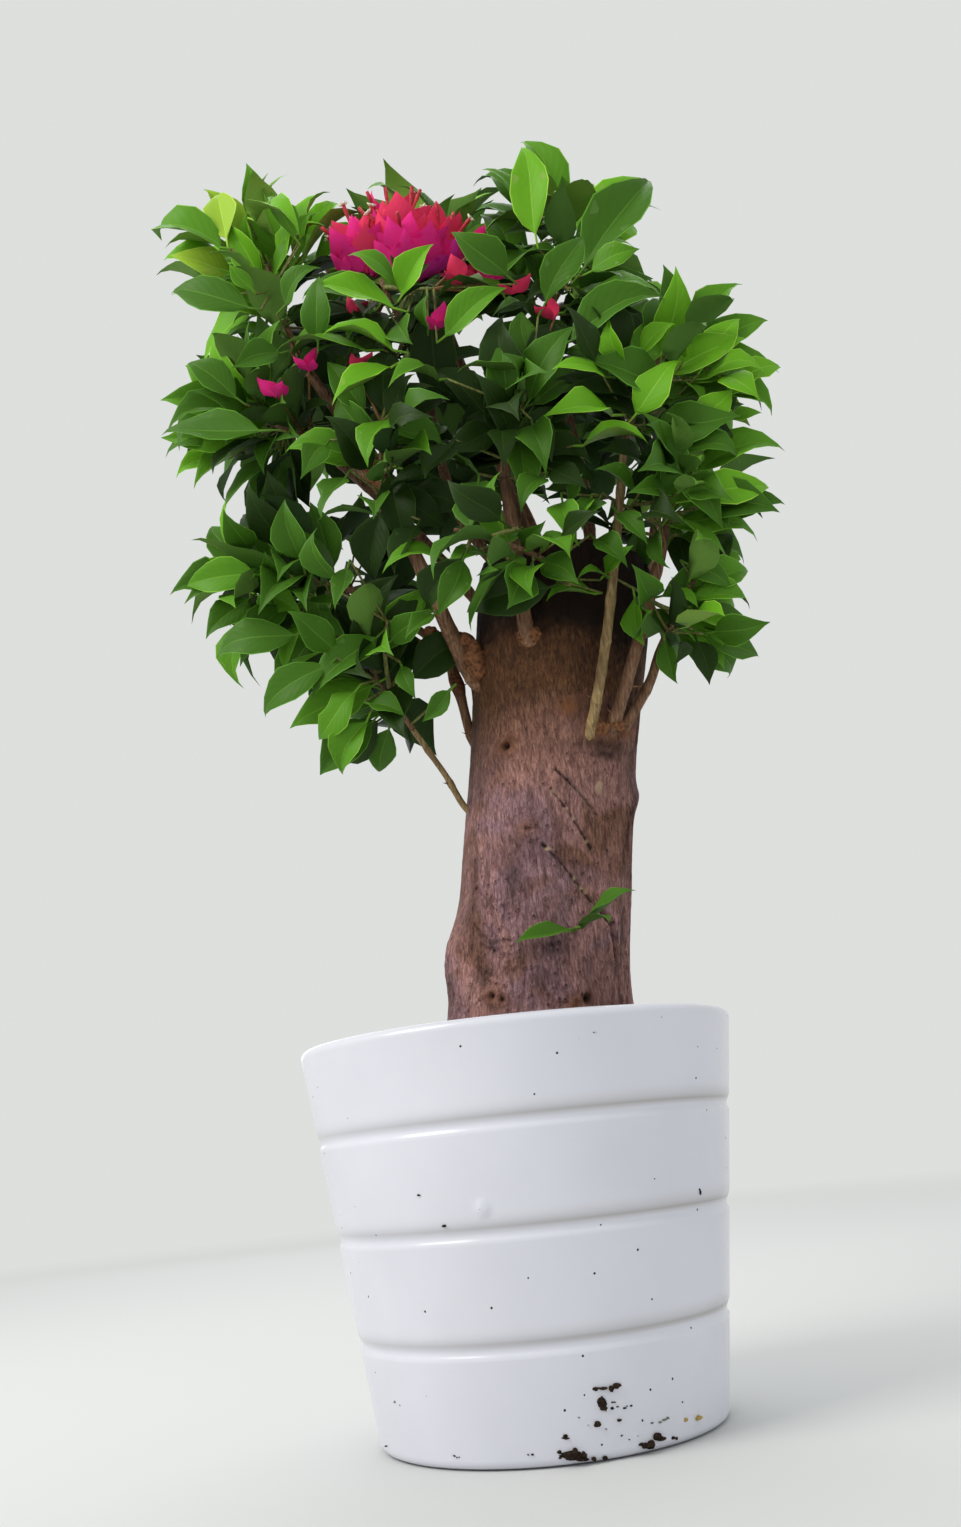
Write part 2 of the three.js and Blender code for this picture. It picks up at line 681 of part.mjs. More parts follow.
function crosses(one, other) {
  const [corners, others] = [outline(one), outline(other)];
  return [[corners, others], [others, corners]].some(([a, b]) => {
    const edges = [[a[0], a[1]], [a[1], a[2]], [a[2], a[3]], [a[3], a[0]], [a[0], a[2]]];
    const halves = [[b[0], b[1], b[2]], [b[0], b[2], b[3]]];
    return edges.some(([from, to]) => halves.some((half) => piercing(from, to, half)));
  });
}

// Whether a leaf has room: inside its space, clear of limbs, twigs and the other leaves
function hasRoom(name, leaf, stretch, spheres, leaves) {
  const middle = leafPoint(leaf, LEAF_MIDDLE, 0);
  if (leaves.some((other) => leafPoint(other, LEAF_MIDDLE, 0).distanceTo(middle) < LEAF_SPACING)) {
    return false;
  }
  return leafFits(name, leaf, stretch, spheres) && !leaves.some((other) => crosses(leaf, other));
}

// The places that the leaves of a mass reach for: even all through its space, further and further filled in
function leafGoal(mass, number) {
  const part = (step) => (chance(mass.seed, 1, step) + (number + 1) / PLASTIC ** step) % 1;
  const height = 1 - 2 * part(1);
  const ring = Math.sqrt(1 - height ** 2);
  const angle = 2 * Math.PI * part(2);
  const way = new THREE.Vector3(ring * Math.cos(angle), ring * Math.sin(angle), height);
  return way.multiply(vector(mass.reach)).multiplyScalar(between(GOAL_SHARES, Math.sqrt(part(3))));
}

// The leaf from one node of the shoots whose middle comes to the goal: the node is the free one that suits
// the wished length best and doesn't send the leaf backwards
function leafTo(goal, name, mass, number, nodes, spheres, leaves) {
  const wished = LEAF_LENGTH * between(LEAF_WISHED, chance(mass.seed, number, 1));
  const choices = nodes.filter((node) => !node.taken).map((node) => {
    const way = goal.clone().sub(node.root);
    const length = way.length() / LEAF_MIDDLE;
    way.normalize();
    const backwards = Math.max(0, BACKWARDS.from - way.dot(node.along));
    return { node, way, length, miss: Math.abs(length - wished) + BACKWARDS.cost * backwards };
  });
  choices.sort((one, other) => one.miss - other.miss);
  for (const { node, way, length } of choices.slice(0, LEAF_TRIES)) {
    const held = LEAF_LENGTH * THREE.MathUtils.clamp(length / LEAF_LENGTH, ...LEAF_HELD);
    const leaf = makeLeaf(node.root, way, leafFacing(goal, mass.seed, number), held);
    if (hasRoom(name, leaf, STRETCH.leaf, spheres, leaves)) {
      node.taken = true;
      return leaf;
    }
  }
  return null;
}

function nodesOf(shoots) {
  return shoots.flatMap(({ curve }) => NODE_SHARES.map((share) => (
    { root: curve.getPoint(share), along: curve.getTangent(share), taken: false })));
}

// The growth of a mass by its seed: a leaf at the end of each shoot, then leaves to the goals
function grow(name, mass) {
  const centre = vector(mass.centre);
  const stem = stemOf(mass);
  const shoots = shootsOf(name, mass, stem);
  const spheres = [
    ...spheresAlong(stem.curve, () => stem.radii[1]),
    ...shoots.flatMap(({ curve }) => spheresAlong(curve, twigRadius)),
  ];
  const leaves = [];
  shoots.forEach(({ curve, tip, way, leads }, order) => {
    const end = curve.getPoint(SHOOT_END);
    const leaf = makeLeaf(end, way, leafFacing(end, mass.seed, -order), tip.distanceTo(end));
    if (hasRoom(name, leaf, leads ? STRETCH.leader : STRETCH.leaf, spheres, leaves)) {
      leaves.push(leaf);
    }
  });
  const nodes = nodesOf(shoots);
  for (let number = 1; number <= mass.goals; number += 1) {
    const goal = leafGoal(mass, number);
    for (const pull of GOAL_PULLS) {
      const place = centre.clone().addScaledVector(goal, pull);
      const inside = insideSpace(name, place, STRETCH.twig);
      const leaf = inside && leafTo(place, name, mass, number, nodes, spheres, leaves);
      if (leaf) {
        leaves.push(leaf);
        break;
      }
    }
  }
  return { stem, twigs: shoots.map(({ curve }) => curve), leaves };
}

function stemSolid(stem) {
  return solidOf(tube(stem.curve, (share) => between(stem.radii, share), TWIG_SIDES, STEM_STEPS));
}

function twigSolid(twig) {
  return solidOf(tube(twig, twigRadius, TWIG_SIDES, 1));
}

function massSolid(name, mass) {
  const { stem, twigs, leaves } = grow(name, mass);
  return fuse([stemSolid(stem), ...twigs.map(twigSolid), ...leaves.map(leafSolid)]);
}

// The bloom: twigs to the middle of each head, and bracts that stand out of it on all sides
function bloomSolid() {
  const stem = stemOf(BLOOM);
  const pieces = [stemSolid(stem)];
  BLOOM.heads.forEach((head, index) => {
    const middle = vector(head.centre);
    const twig = new THREE.LineCurve3(onTube(stem.curve, BLOOM.twigs[index], STEM_STEPS), middle);
    pieces.push(twigSolid(twig));
    for (let i = 0; i < head.bracts; i += 1) {
      const way = spread(i, head.bracts, BLOOM.seed + index);
      const facing = leafFacing(middle, BLOOM.seed, i);
      const length = head.radius * between(BRACT_SHARES, chance(BLOOM.seed, index, i));
      const leaf = makeLeaf(middle, way, facing, length);
      if (leafFits('bloom', leaf, STRETCH.bract, [])) {
        pieces.push(leafSolid(leaf));
      }
    }
  });
  return fuse(pieces);
}

function sproutSolid() {
  const root = onTrunk(SPROUT.facing, SPROUT.height, SPROUT.sink);
  const out = onTrunk(SPROUT.facing, SPROUT.height).sub(root).normalize();
  const tip = root.clone().addScaledVector(out, SPROUT.length);
  const pieces = [solidOf(tube(new THREE.LineCurve3(root, tip), () => SPROUT.radius, SPROUT.sides, 1))];
  for (const leader of SPROUT.leaders) {
    const way = vector(leader).sub(tip);
    const length = way.length();
    pieces.push(leafSolid(makeLeaf(tip.clone().addScaledVector(out, -1), way.normalize(), LIGHT, length)));
  }
  return fuse(pieces);
}

// The object
const GLAZE = { color: 0xe6ebf2, roughness: 0.22, metalness: 0 };
const EARTH = { color: 0x2c2119, roughness: 0.95, metalness: 0 };
const TRUNK_BARK = { color: 0x6d4a45, roughness: 0.85, metalness: 0 };
const BOUGH_BARK = { color: 0x7a5637, roughness: 0.8, metalness: 0 };
const LEAF_GREEN = { color: 0x2f6a1e, roughness: 0.45, metalness: 0 };
const BRACT_PINK = { color: 0xc81a63, roughness: 0.6, metalness: 0 };

const bonsai = new THREE.Group();

function place(name, geometry, finish) {
  const mesh = new THREE.Mesh(geometry, new THREE.MeshStandardMaterial(finish));
  mesh.name = name;
  bonsai.add(mesh);
}

const clearOfTrunk = solidOf(trunk(GAP));
place('pot', pot(), GLAZE);
place('soil', soil(), EARTH);
place('trunk', trunk(), TRUNK_BARK);
for (const [name, limb] of Object.entries(LIMBS)) {
  const base = limb.parent === 'trunk' ? clearOfTrunk : boughSolid(LIMBS[limb.parent], GAP);
  place(name, geometryOf(mainBody(boughSolid(limb).subtract(base))), BOUGH_BARK);
}
for (const [name, mass] of Object.entries(MASSES)) {
  const solid = massSolid(name, mass);
  place(name, geometryOf(mass.bough ? solid : mainBody(solid.subtract(clearOfTrunk))), LEAF_GREEN);
}
place('bloom', geometryOf(bloomSolid()), BRACT_PINK);
place('sprout', geometryOf(mainBody(sproutSolid().subtract(clearOfTrunk))), LEAF_GREEN);

export default bonsai;
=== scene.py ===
"""A potted bougainvillea bonsai: a glazed pot of soil, a thick cut-back trunk, its boughs, leaves and bloom.

Lengths are in millimetres until a mesh is made, which is in metres. +Z is up and -Y is the front.
"""

import functools
import itertools

import bpy
import numpy as np
from mathutils import Matrix, Vector


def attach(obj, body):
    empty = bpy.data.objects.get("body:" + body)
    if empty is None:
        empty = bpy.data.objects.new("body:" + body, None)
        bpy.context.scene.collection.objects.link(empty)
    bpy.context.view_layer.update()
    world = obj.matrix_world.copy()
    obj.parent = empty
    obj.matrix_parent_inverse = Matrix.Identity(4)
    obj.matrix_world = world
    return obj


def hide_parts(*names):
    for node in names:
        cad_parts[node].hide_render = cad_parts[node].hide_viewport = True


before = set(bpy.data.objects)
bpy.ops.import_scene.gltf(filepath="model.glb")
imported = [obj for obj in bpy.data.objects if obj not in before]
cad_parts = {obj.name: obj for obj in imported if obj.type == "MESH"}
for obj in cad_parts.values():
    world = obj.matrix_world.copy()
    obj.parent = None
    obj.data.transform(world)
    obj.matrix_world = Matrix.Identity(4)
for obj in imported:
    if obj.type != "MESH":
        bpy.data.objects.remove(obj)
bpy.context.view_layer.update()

MM = 0.001
GAP = 0.3
UP = np.array([0.0, 0.0, 1.0])
SIDEWAYS = np.array([1.0, 0.0, 0.0])
GOLDEN_ANGLE = np.pi * (3 - np.sqrt(5))
PLASTIC = 1.2207440846

# Pot: a cone wall with a rounded lip and three shallow grooves
POT_HEIGHT = 176
POT_RIM_RADIUS = 105
POT_BASE_RADIUS = 78.75
POT_WALL = 7
POT_FLOOR = 9
POT_FOOT_ROUND = 4
POT_SEGMENTS = 320
# A drip of the glaze: degrees round, height, half width, half height and how far it stands out
DRIP = (257.6, 100, 2.1, 3.4, 1.2)
GROOVE_HEIGHTS = (46, 91, 134.5)
GROOVE_HALF_WIDTH = 4.2
GROOVE_DEPTH = 1.35
# Painted shade over the middle of a groove: its height, half height and strength
GROOVE_SHADE = ((1.1, 1.2, 0.5), (3.2, 2.6, 0.22))
SOIL_HEIGHT = 164
SOIL_SEGMENTS = 180
# The soil's unevenness as layers of noise, a depth, a cell and a seed each, and its fall at the wall
SOIL_GRAIN = ((1.6, 11, 3), (1.0, 4, 4), (0.6, 1.8, 5))
SOIL_FALL = 2.2
SOIL_EDGE = (80, 97)
SOIL_REACH = 96
SOIL_CRUMBS = 420
CRUMB_SIZES = (0.8, 3.0)
FLAT_LUMP = np.array([1, 0.8, 0.6])
# Splashes of soil: degrees round and height, half width in degrees, half height and amount
SPLASHES = (
    (285, 22, 6, 7, 0.36), (276, 5, 6, 5, 0.42), (299, 5, 8, 4, 0.42), (236, 48, 5, 4, 0.34),
    (246.5, 94.4, 1.6, 2.2, 0.45),
)
# What sticks to the glaze: degrees round and height, spread in degrees and in millimetres, how many, size
# and kind: 0 soil, 1 seed or straw, 2 grey stick
STUCK = (
    (285.8, 26.7, 5, 0.8, 9, 1.3, 0), (284, 21.5, 0.9, 3.2, 7, 1.3, 0), (287.5, 20.5, 2.2, 2.8, 5, 0.5, 0),
    (291, 18.3, 2.6, 1, 3, 0.5, 0), (288.8, 14.4, 0.6, 0.5, 2, 1.1, 0), (281.8, 14.1, 1.2, 0.7, 4, 0.9, 0),
    (284.4, 11.8, 0, 0, 1, 0.5, 0), (279.3, 14.2, 0, 0, 1, 0.4, 0), (276.9, 17.4, 0, 0, 1, 0.35, 0),
    (272.4, 10.5, 1, 1.6, 4, 0.8, 0), (270.6, 4.6, 0.4, 2.8, 7, 0.6, 0), (275.7, 3.4, 3.4, 2, 12, 1.7, 0),
    (280.7, 1.4, 4, 0.5, 6, 0.7, 0), (288.6, 8.4, 0.6, 0.4, 2, 0.5, 0), (294.1, 7.2, 0, 0, 1, 0.4, 0),
    (291.2, 6.5, 0, 0, 1, 0.3, 0), (295.8, 12.6, 0, 0, 1, 0.5, 0), (299.6, 10.7, 1, 0.5, 2, 0.5, 0),
    (297.3, 3.2, 3, 1.4, 9, 1.5, 0), (301.2, 4.8, 1.8, 2, 6, 1.4, 0), (307.8, 3, 2, 0.5, 4, 0.6, 0),
    (310.8, 15.8, 0, 0, 1, 0.35, 0), (246.5, 94.4, 0.4, 0.4, 2, 0.9, 0),
    (240.9, 107.3, 0.5, 0.3, 2, 0.7, 0), (321.2, 96.3, 0.3, 1.4, 3, 0.7, 0),
    (216.5, 25.2, 0.8, 0.8, 2, 0.4, 0), (203, 5, 0, 0, 1, 0.5, 0), (261.7, 5.5, 1.5, 0.5, 2, 0.4, 0),
    (239, 5.5, 2, 0.8, 5, 0.35, 0), (289, 165, 1, 0.3, 2, 0.3, 0), (317.8, 8, 0, 0, 1, 2.3, 1),
    (311.8, 8.9, 0, 0, 1, 0.9, 1), (284.8, 18.6, 0, 0, 1, 0.7, 1), (301.8, 10.5, 0, 0, 1, 0.9, 2),
    (303.2, 11, 0, 0, 1, 1, 2), (304.6, 11.4, 0, 0, 1, 0.8, 2),
)

# Trunk: it leans towards +X, flares at the soil and swells under its cut top
TRUNK_FOOT = SOIL_HEIGHT + GAP
TRUNK_FOOT_X = 9.6
TRUNK_LEAN = 0.1735
TRUNK_RADIUS = 43.2
TRUNK_TOP = 418
TRUNK_TOP_SLOPE = -0.13
TRUNK_HOLLOW = 7
FLARE = {"swell": 10.5, "reach": 14, "roots": 5, "share": 0.22}
TOP_SWELL = {"swell": 3.6, "from": 300, "to": 410}
RIBS = ({"waves": 4, "depth": 0.7, "twist": 0.012}, {"waves": 7, "depth": 0.45, "twist": -0.02})
TRUNK_COLUMNS = 260
TRUNK_ROWS = 330
FRONT_DENSITY = 0.6
# Layers of noise on the bark and on the broken top: depth, cell and seed
BARK_GRAIN = ((0.16, (3, 3, 9), 22), (0.12, (1.9, 1.9, 3), 23), (0.7, (16, 16, 30), 24))
TOP_GRAIN = ((1.5, 5, 32), (0.8, 2.2, 33))
# The rim of the cut top: the share of the height where it starts, its rounding and its unevenness
RIM = {"from": 0.985, "round": 1.2, "uneven": 0.9, "cell": 6}
TOP_RINGS = (0.965, 0.04, 34)
TOP_DISH = 1.4
# Fissures down the right of the bark: where they are, how far round they reach, and their depth
FISSURES = {"facing": 345, "spread": 22, "cell": (3, 3, 20), "depth": 2.4}

# Burrs, knots and bough collars: degrees round the trunk from +X, height, swell and spread
BURRS = (
    (184, 215, 3.4, 17), (234, 193, 3.5, 8), (289, 188, 2.5, 9), (287, 217, 2, 8), (252, 266, 2.8, 8),
    (234, 307, 2.4, 6), (358, 290, 2.2, 7), (204, 357, 6, 13), (249, 366, 4, 10), (305, 313, 4, 13),
    (60, 250, 3, 14), (120, 345, 4, 16),
)

# Healed cuts and the open crack: both ends as degrees round and height, then the half width, the depth, the
# height of the lips and how pale their beads are
CUTS = (
    ((271, 295), (302, 273), 0.6, 0.9, 0.3, 0.3), ((269, 285), (299, 256), 0.6, 0.8, 0.3, 0.7),
    ((266, 258), (303, 229), 0.65, 0.8, 0.4, 1), ((306, 229), (318, 220), 1.1, 3.2, 0.7, 0),
    ((318, 220), (325, 204), 1.3, 3.6, 0.7, 0), ((218, 243), (237, 229), 0.7, 0.7, 0.6, 0),
    ((219, 225), (233, 215), 0.7, 0.7, 0.8, 0), ((233, 215), (250, 214), 0.7, 0.7, 0.8, 0),
    ((226, 215), (250, 207), 0.7, 0.6, 0.6, 0), ((336, 281), (328, 252), 1.2, 1.6, 0.7, 0),
)
# Knots with a hole: degrees round, height, radius of the ring, radius and depth of the hole
KNOTS = (
    (238, 309, 5.5, 1.7, 4), (256, 266, 4.5, 0.9, 0.7), (241, 190, 4.5, 1.1, 1.4),
    (247, 188, 3.5, 1, 1.2), (298, 185, 4, 2.4, 3), (75, 300, 7, 2.5, 3),
    (150, 240, 6, 2, 2.5),
)
# Hollows: degrees round, height, half width, half height, depth and how dark the painted shade in them is
HOLLOWS = (
    (248, 246, 5.5, 15, 1.5, 0.75), (273, 209, 10, 5, 1.8, 0.9), (243, 339, 5, 5, 0.6, 0.6),
    (293, 397, 17, 13, 3, 1), (305, 308, 22, 3.5, 0.6, 0.9), (330, 300, 6, 16, 0.8, 0.6),
    (232, 200, 7, 4, 1.2, 0.6), (215, 372, 5, 10, 1.5, 0.9), (305, 304, 10, 3, 1.6, 1),
    (208, 390, 10, 36, 0.4, 0.9), (326, 362, 8, 34, 0.6, 0.95), (300, 386, 24, 12, 1, 1),
    (348, 330, 8, 60, 0.3, 0.6), (336, 245, 9, 60, 0.2, 0.4),
)
# Bulges of the wood: degrees round, height, half width, half height and swell
BULGES = ((190, 212, 18, 20, 2.6), (344, 287, 7, 8, 1.8), (285, 206, 14, 10, 1.5), (262, 290, 20, 60, 1.2))
# Rough young wood round boughs and cuts: degrees round, height and spread
CALLUSES = (
    (204, 357, 10), (249, 367, 8), (296, 316, 7), (308, 315, 7), (320, 318, 6), (277, 327, 5),
    (290, 184, 4), (172, 330, 6), (150, 372, 7), (128, 398, 8), (40, 392, 9), (88, 402, 8),
)
# How dark the painted shade in the trench of an open cut and of a faint one is
OPEN_CUT, FAINT_CUT = 0.92, 0.25
# A pale spot: degrees round, height, half width and half height
PALE_SPOT = (302, 287, 1.9, 3.4)

# Boughs
COLLAR = {"swell": 0.3, "reach": 0.12}
ROOT_DEPTH = 11
BOUGH_SIDES = 18
BOUGH_STEP = 1.5
SCAR_SPACING = (13, 20)
SCAR_RING = {"swell": 0.35, "spread": 1.6}
# Thorns: the share of the scars with one, its length, its lean along the bough and its radii
THORNS = {"share": 0.55, "length": (2.5, 5), "lean": 1.5, "radii": (0.8, 0.5, 0.25, 0.06)}
# Layers of noise on the boughs and on their cuffs: depth, cell and seed
BOUGH_GRAIN = ((0.12, (2.4, 2.4, 30), 41), (0.08, (3, 3, 4), 42))
CUFF_GRAIN = ((0.45, 3.4, 43), (0.3, 1.7, 44))
TAN_BOUGHS = ("bough_right_inner", "bough_low_left")
# Rough cuffs of healed wood where boughs leave the trunk: swelling and reach
CUFFS = {"bough_left": (2, 8), "bough_front": (2.4, 9), "bough_right_inner": (1.8, 5),
         "bough_right_outer": (2, 6), "bough_right_back": (1.2, 5)}
# Knobs of healed wood at the feet of boughs, and an old bud: middle and reach
KNOBS = (
    ((0, -23, 364), (7, 7, 11)), ((-5, -22, 374), (6, 6, 8)), ((27.5, -45, 366.5), (6.4, 5, 5.5)),
    ((57, -40, 316), (5.5, 5, 3.5)), ((66, -37, 317), (5.5, 5, 3.2)), ((-22.5, 3, 392.5), (4, 4, 5)),
)
# Burrs on the boughs: share of the length, swelling and spread
BOUGH_BURRS = {"bough_left": ((0.72, 3.0, 11),), "bough_left_back": ((0.55, 1.4, 5),)}
# Boughs on the trunk: degrees round and height of the root, two points, and the radius at both ends
BOUGHS = {
    "bough_left": (204, 358, ((-22, -32, 412), (-46, -28, 484), (-76, -18, 549)), (6.2, 2.8)),
    "bough_left_back": (172, 330, ((-18, 5, 384), (-60, -1, 419)), (3.6, 2)),
    "bough_low_left": (183, 291, ((-22, -5, 311), (-36, -11, 335)), (1.9, 1.5)),
    "bough_front": (249, 367, ((26, -51, 401), (25, -50, 452)), (5, 3.2)),
    "bough_right_inner": (292, 315, ((67, -51, 365), (88, -46, 462)), (3.4, 2.3)),
    "bough_right_back": (320, 320, ((86, -28, 340), (93, -29, 355)), (3.3, 2.4)),
    "bough_right_outer": (306, 316, ((81, -42, 356), (100, -37, 405)), (4.4, 2.8)),
    "bough_back_low": (150, 372, ((-22, 46, 398), (-52, 56, 428)), (3.8, 2.4)),
    "bough_back_left": (128, 398, ((-24, 50, 474), (-74, 60, 540)), (4.6, 2.6)),
    "bough_back_right": (40, 392, ((112, 46, 458), (120, 56, 504)), (4.6, 2.8)),
    "bough_back": (88, 402, ((50, 62, 450), (42, 68, 488)), (4.2, 2.8)),
}
# Boughs that rise from the cut top: degrees round it and the share of its radius
TOP_BOUGHS = {
    "bough_centre_left": (165, 0.72, ((-3, 10, 474), (-12, -18, 530)), (4.4, 2.6)),
    "bough_top_right": (20, 0.35, ((70, 0, 470), (62, -9, 548)), (4.8, 2.8)),
    "bough_back_top": (110, 0.55, ((26, 34, 510), (6, 46, 606)), (4.6, 2.6)),
}
# Boughs that fork off the left one, at a share of its length
FORKS = {
    "bough_mid_left": ("bough_left", 0.68, ((-60, -28, 489), (-78, -22, 506)), (3, 2.2)),
    "bough_bloom": ("bough_left", 0.86, ((-56, -16, 548), (-34, -17, 588)), (2.6, 1.9)),
    "bough_inner_left": ("bough_left", 0.52, ((-32, -38, 438), (-36, -40, 448)), (2.6, 2)),
}

# Masses of leaves: the bough they grow from, or its place on the trunk, the middle and reach of their space,
# the seed, the number of shoots, and the tips of the leading leaves
MASSES = {
    "foliage_top_left": ("bough_left", (-94, -8, 620), (66, 60, 66), 51, 9, (
        (-153, -20, 646), (-124, -5, 688), (-151, -25, 605), (-98, 5, 690))),
    "foliage_mid_left": ("bough_mid_left", (-102, -14, 522), (62, 62, 56), 38, 8, (
        (-146, -15, 565), (-161, -20, 517), (-111, -30, 470))),
    "foliage_low_left": ("bough_left_back", (-96, -8, 424), (60, 62, 58), 52, 8, (
        (-151, -10, 428), (-133, -25, 375), (-122, 10, 480))),
    "foliage_low_centre": ("bough_low_left", (-54, -14, 368), (56, 54, 58), 51, 7, (
        (-109, -30, 344), (-73, -20, 312), (-45, 0, 326))),
    "foliage_inner_left": ("bough_inner_left", (-36, -52, 470), (54, 52, 62), 44, 6, ()),
    "foliage_top_centre": ("bough_centre_left", (-24, -42, 562), (62, 54, 58), 40, 7, (
        (-68, -45, 587), (3, -52, 604))),
    "foliage_top_right": ("bough_top_right", (74, -14, 606), (64, 62, 84), 46, 10, (
        (58, -15, 694), (131, -10, 661), (117, -20, 606), (123, -40, 558))),
    "foliage_right_upper": ("bough_right_inner", (110, -42, 508), (72, 60, 56), 32, 9, (
        (170, -10, 560), (179, -35, 507), (170, -20, 494), (93, -45, 546))),
    "foliage_right_mid": ("bough_right_outer", (108, -38, 440), (62, 58, 48), 57, 6, (
        (159, -45, 434), (136, -30, 403))),
    "foliage_right_low": ("bough_right_back", (106, -34, 376), (50, 54, 48), 2, 6, (
        (142, -30, 376), (144, -30, 348), (98, -50, 331))),
    "foliage_centre": ("bough_front", (38, -56, 488), (54, 54, 56), 33, 7, ()),
    "foliage_front": ((262, 402), (12, -76, 404), (66, 36, 40), 60, 6, ((-41, -75, 393), (60, -88, 359))),
    "foliage_back_low": ("bough_back_low", (-80, 58, 452), (66, 60, 66), 44, 7, ()),
    "foliage_back_left": ("bough_back_left", (-92, 64, 588), (66, 60, 72), 55, 8, ()),
    "foliage_back_top": ("bough_back_top", (-2, 40, 652), (70, 66, 66), 45, 9, (
        (-25, 10, 716), (-50, 15, 701), (17, 15, 688))),
    "foliage_back_right": ("bough_back_right", (112, 60, 552), (70, 62, 74), 13, 9, ()),
    "foliage_back": ("bough_back", (22, 76, 538), (68, 58, 64), 43, 8, ()),
}
GOALS = 104
LATE_LEAF = 0.74

# Bloom: heads of bracts, each a ball on its own twig: middle, radius, bracts and flower tubes
BLOOM = ("bough_bloom", (-18, -20, 632), (56, 46, 42), 67)
HEADS = (
    ((-40, -24, 622), 23, 24, 9), ((-15, -27, 619), 26, 28, 7), ((5, -20, 625), 20, 19, 8),
    ((-22, -8, 640), 27, 26, 10), ((25, -18, 602), 12, 10, 3), ((-50, -28, 612), 10, 7, 1),
)
HEAD_SPREAD = 1.45
HEAD_TIPS = (0.78, 1.2)
# Bracts from the red ones high on the left to the purple ones low in the middle: upper side, rib, underside
BRACT_TINTS = (
    ("bracts_red", "#e02450", "#b53044", "#e23a62"),
    ("bracts_pink", "#f01c80", "#c4285c", "#ea2e88"),
    ("bracts_purple", "#d81c98", "#b02a78", "#de36a4"),
)
TINT_STEPS = (-0.5, 0.85)
# Small late bracts among the leaves, by the photograph's pixels
LATE_BRACTS = (
    (356, 316), (437, 330), (462, 284), (494, 282), (512, 294), (309, 371), (356, 370), (279, 399),
    (554, 320), (474, 250),
)
LATE_DEPTH = 0.74
LATE_LENGTHS = (9, 17)
# Flower tubes: how far they stand out in radii of their head, how few are open, and their own radii
TUBE_REACH = (1.05, 1.28)
TUBE_OPEN = 0.74
TUBE_RADII = (0.5, 0.6, 0.8, 0.85, 0.75, 0.85, 1.25, 1.0)
# An open flower: the rings of its dish as shares of its reach and rises above the tube's end
STAR_POINTS = 20
STAR_RINGS = ((0.55, -0.6), (0.9, 0.2), (1.0, 0.9), (0.55, 0.75), (0.2, 0.3))
SPROUT = {
    "facing": 287, "height": 217, "sink": 5, "length": 13, "radius": 1.6, "tint": 1,
    "seeds": (14.5, 42.7, 14.6), "leaders": ((5, -75, 209), (62, -70, 228), (47, -80, 213)),
}

# Leaves and twigs, by the rule of the part's source with finer twigs
LEAF_LENGTH = 50
LEAF_WIDTH = 0.58
LEAF_WIDEST = 0.46
LEAF_FOLD = 0.07
LEAF_MIDDLE = 0.55
LEAF_HELD = (0.78, 1.4)
LEAF_WISHED = (0.85, 1.36)
LEADER_LEAF = 1.4
TWIG_RADII = (1.5, 0.9)
FINE_RADII = (0.8, 0.6)
TWIG_BEND = 0.07
FINE_TWIG = (4, 34)
TRUNK_STEM = {"sink": 6, "radius": 2}
STEM_TAPER = 0.5
STEM_BEND = 0.5
STEM_REACH = 0.35
STEM_BARE = 0.2
STEM_STEPS = 3
# Shares of the points along a stem, a shoot and a finer twig
STEM_POINTS = np.linspace(0, 1, 16)
SHOOT_POINTS = np.linspace(0, 1, 9)
FINE_POINTS = np.linspace(0, 1, 5)
NODE_LEAVES = 2
NODE_SHARES = (0.12, 0.22, 0.32, 0.42, 0.52, 0.62, 0.72, 0.82, 0.92)
STEM_NODES = np.array([0.3, 0.45, 0.6, 0.75, 0.9, 1.0])
SHOOT_END = 0.96
SHOOT_LEAF = (0.75, 1.1)
SHOOT_PULLS = (0.98, 0.86, 0.74, 0.62, 0.5)
CELL_MARGIN = 0.25
LEAN_OVER = -20
NEAR = 66
TRUNK_WIDEST = 62
LIMB_MARGIN = 2.6
TWIG_MARGIN = 1.5
OWN_TWIG_MARGIN = 0.4
LEAF_SPACING = 8
STRETCH = {"twig": 1, "leaf": 1.08, "leader": 1.3}
SPHERE_STEP = 3
STALK = 0.3
GOAL_SHARES = (0.3, 0.94)
GOAL_PULLS = (1, 0.86, 0.72, 0.55)
LEAF_TRIES = 8
# What makes a place on a twig suit a leaf less: too far, too near, backwards, and leaves that are there
COSTS = {"far": 0.6, "near": -2, "backwards": 25, "taken": 12}
BACKWARDS_FROM = 0.2
TWIG_LIFT = 0.3
# The two side leaves of a finer twig: the side and the share of its length, their lean and their size
MATES = ((1, 0.75), (-1, 0.4))
MATE_LEAN = 0.45
MATE_LEAF = (0.72, 0.95)
LIGHT = np.array([0, -1.0, 0.2])
BACK_LIGHT = np.array([0, 0.8, 0.4])
BACK_FROM = 30
SKYLIGHT = np.array([0, -0.35, 0.9])
SKYLIT = 0.26
CROWN_MIDDLE = np.array([30, 10, 500])
OUTWARD = 0.5
STRAY = 0.9

# The pale sky's shade and strength, and the pale floor: half its width, its level just under the pot, and
# the metres over which it melts into the sky
SKY_SHADE = "#eef0ee"
SKY_STRENGTH = 0.85
FLOOR_SHADE = "#d0d1d1"
FLOOR_HALF = 30000
FLOOR_LEVEL = -0.5
FLOOR_FADE = (0.6, 2.6)
# Soft lights: place, target, side, watts and shade
LAMPS = {
    "key_light": ((-1200, -760, 1350), (0, 0, 350), 0.9, 20, "#fffcf6"),
    "fill_light": ((1300, -900, 700), (0, 0, 350), 1.2, 1, "#eef4ff"),
    "top_light": ((100, 500, 1700), (0, 0, 500), 1.0, 8, "#ffffff"),
    "back_light": ((-300, 1600, 900), (0, 0, 400), 1.3, 4, "#f6f8ff"),
}

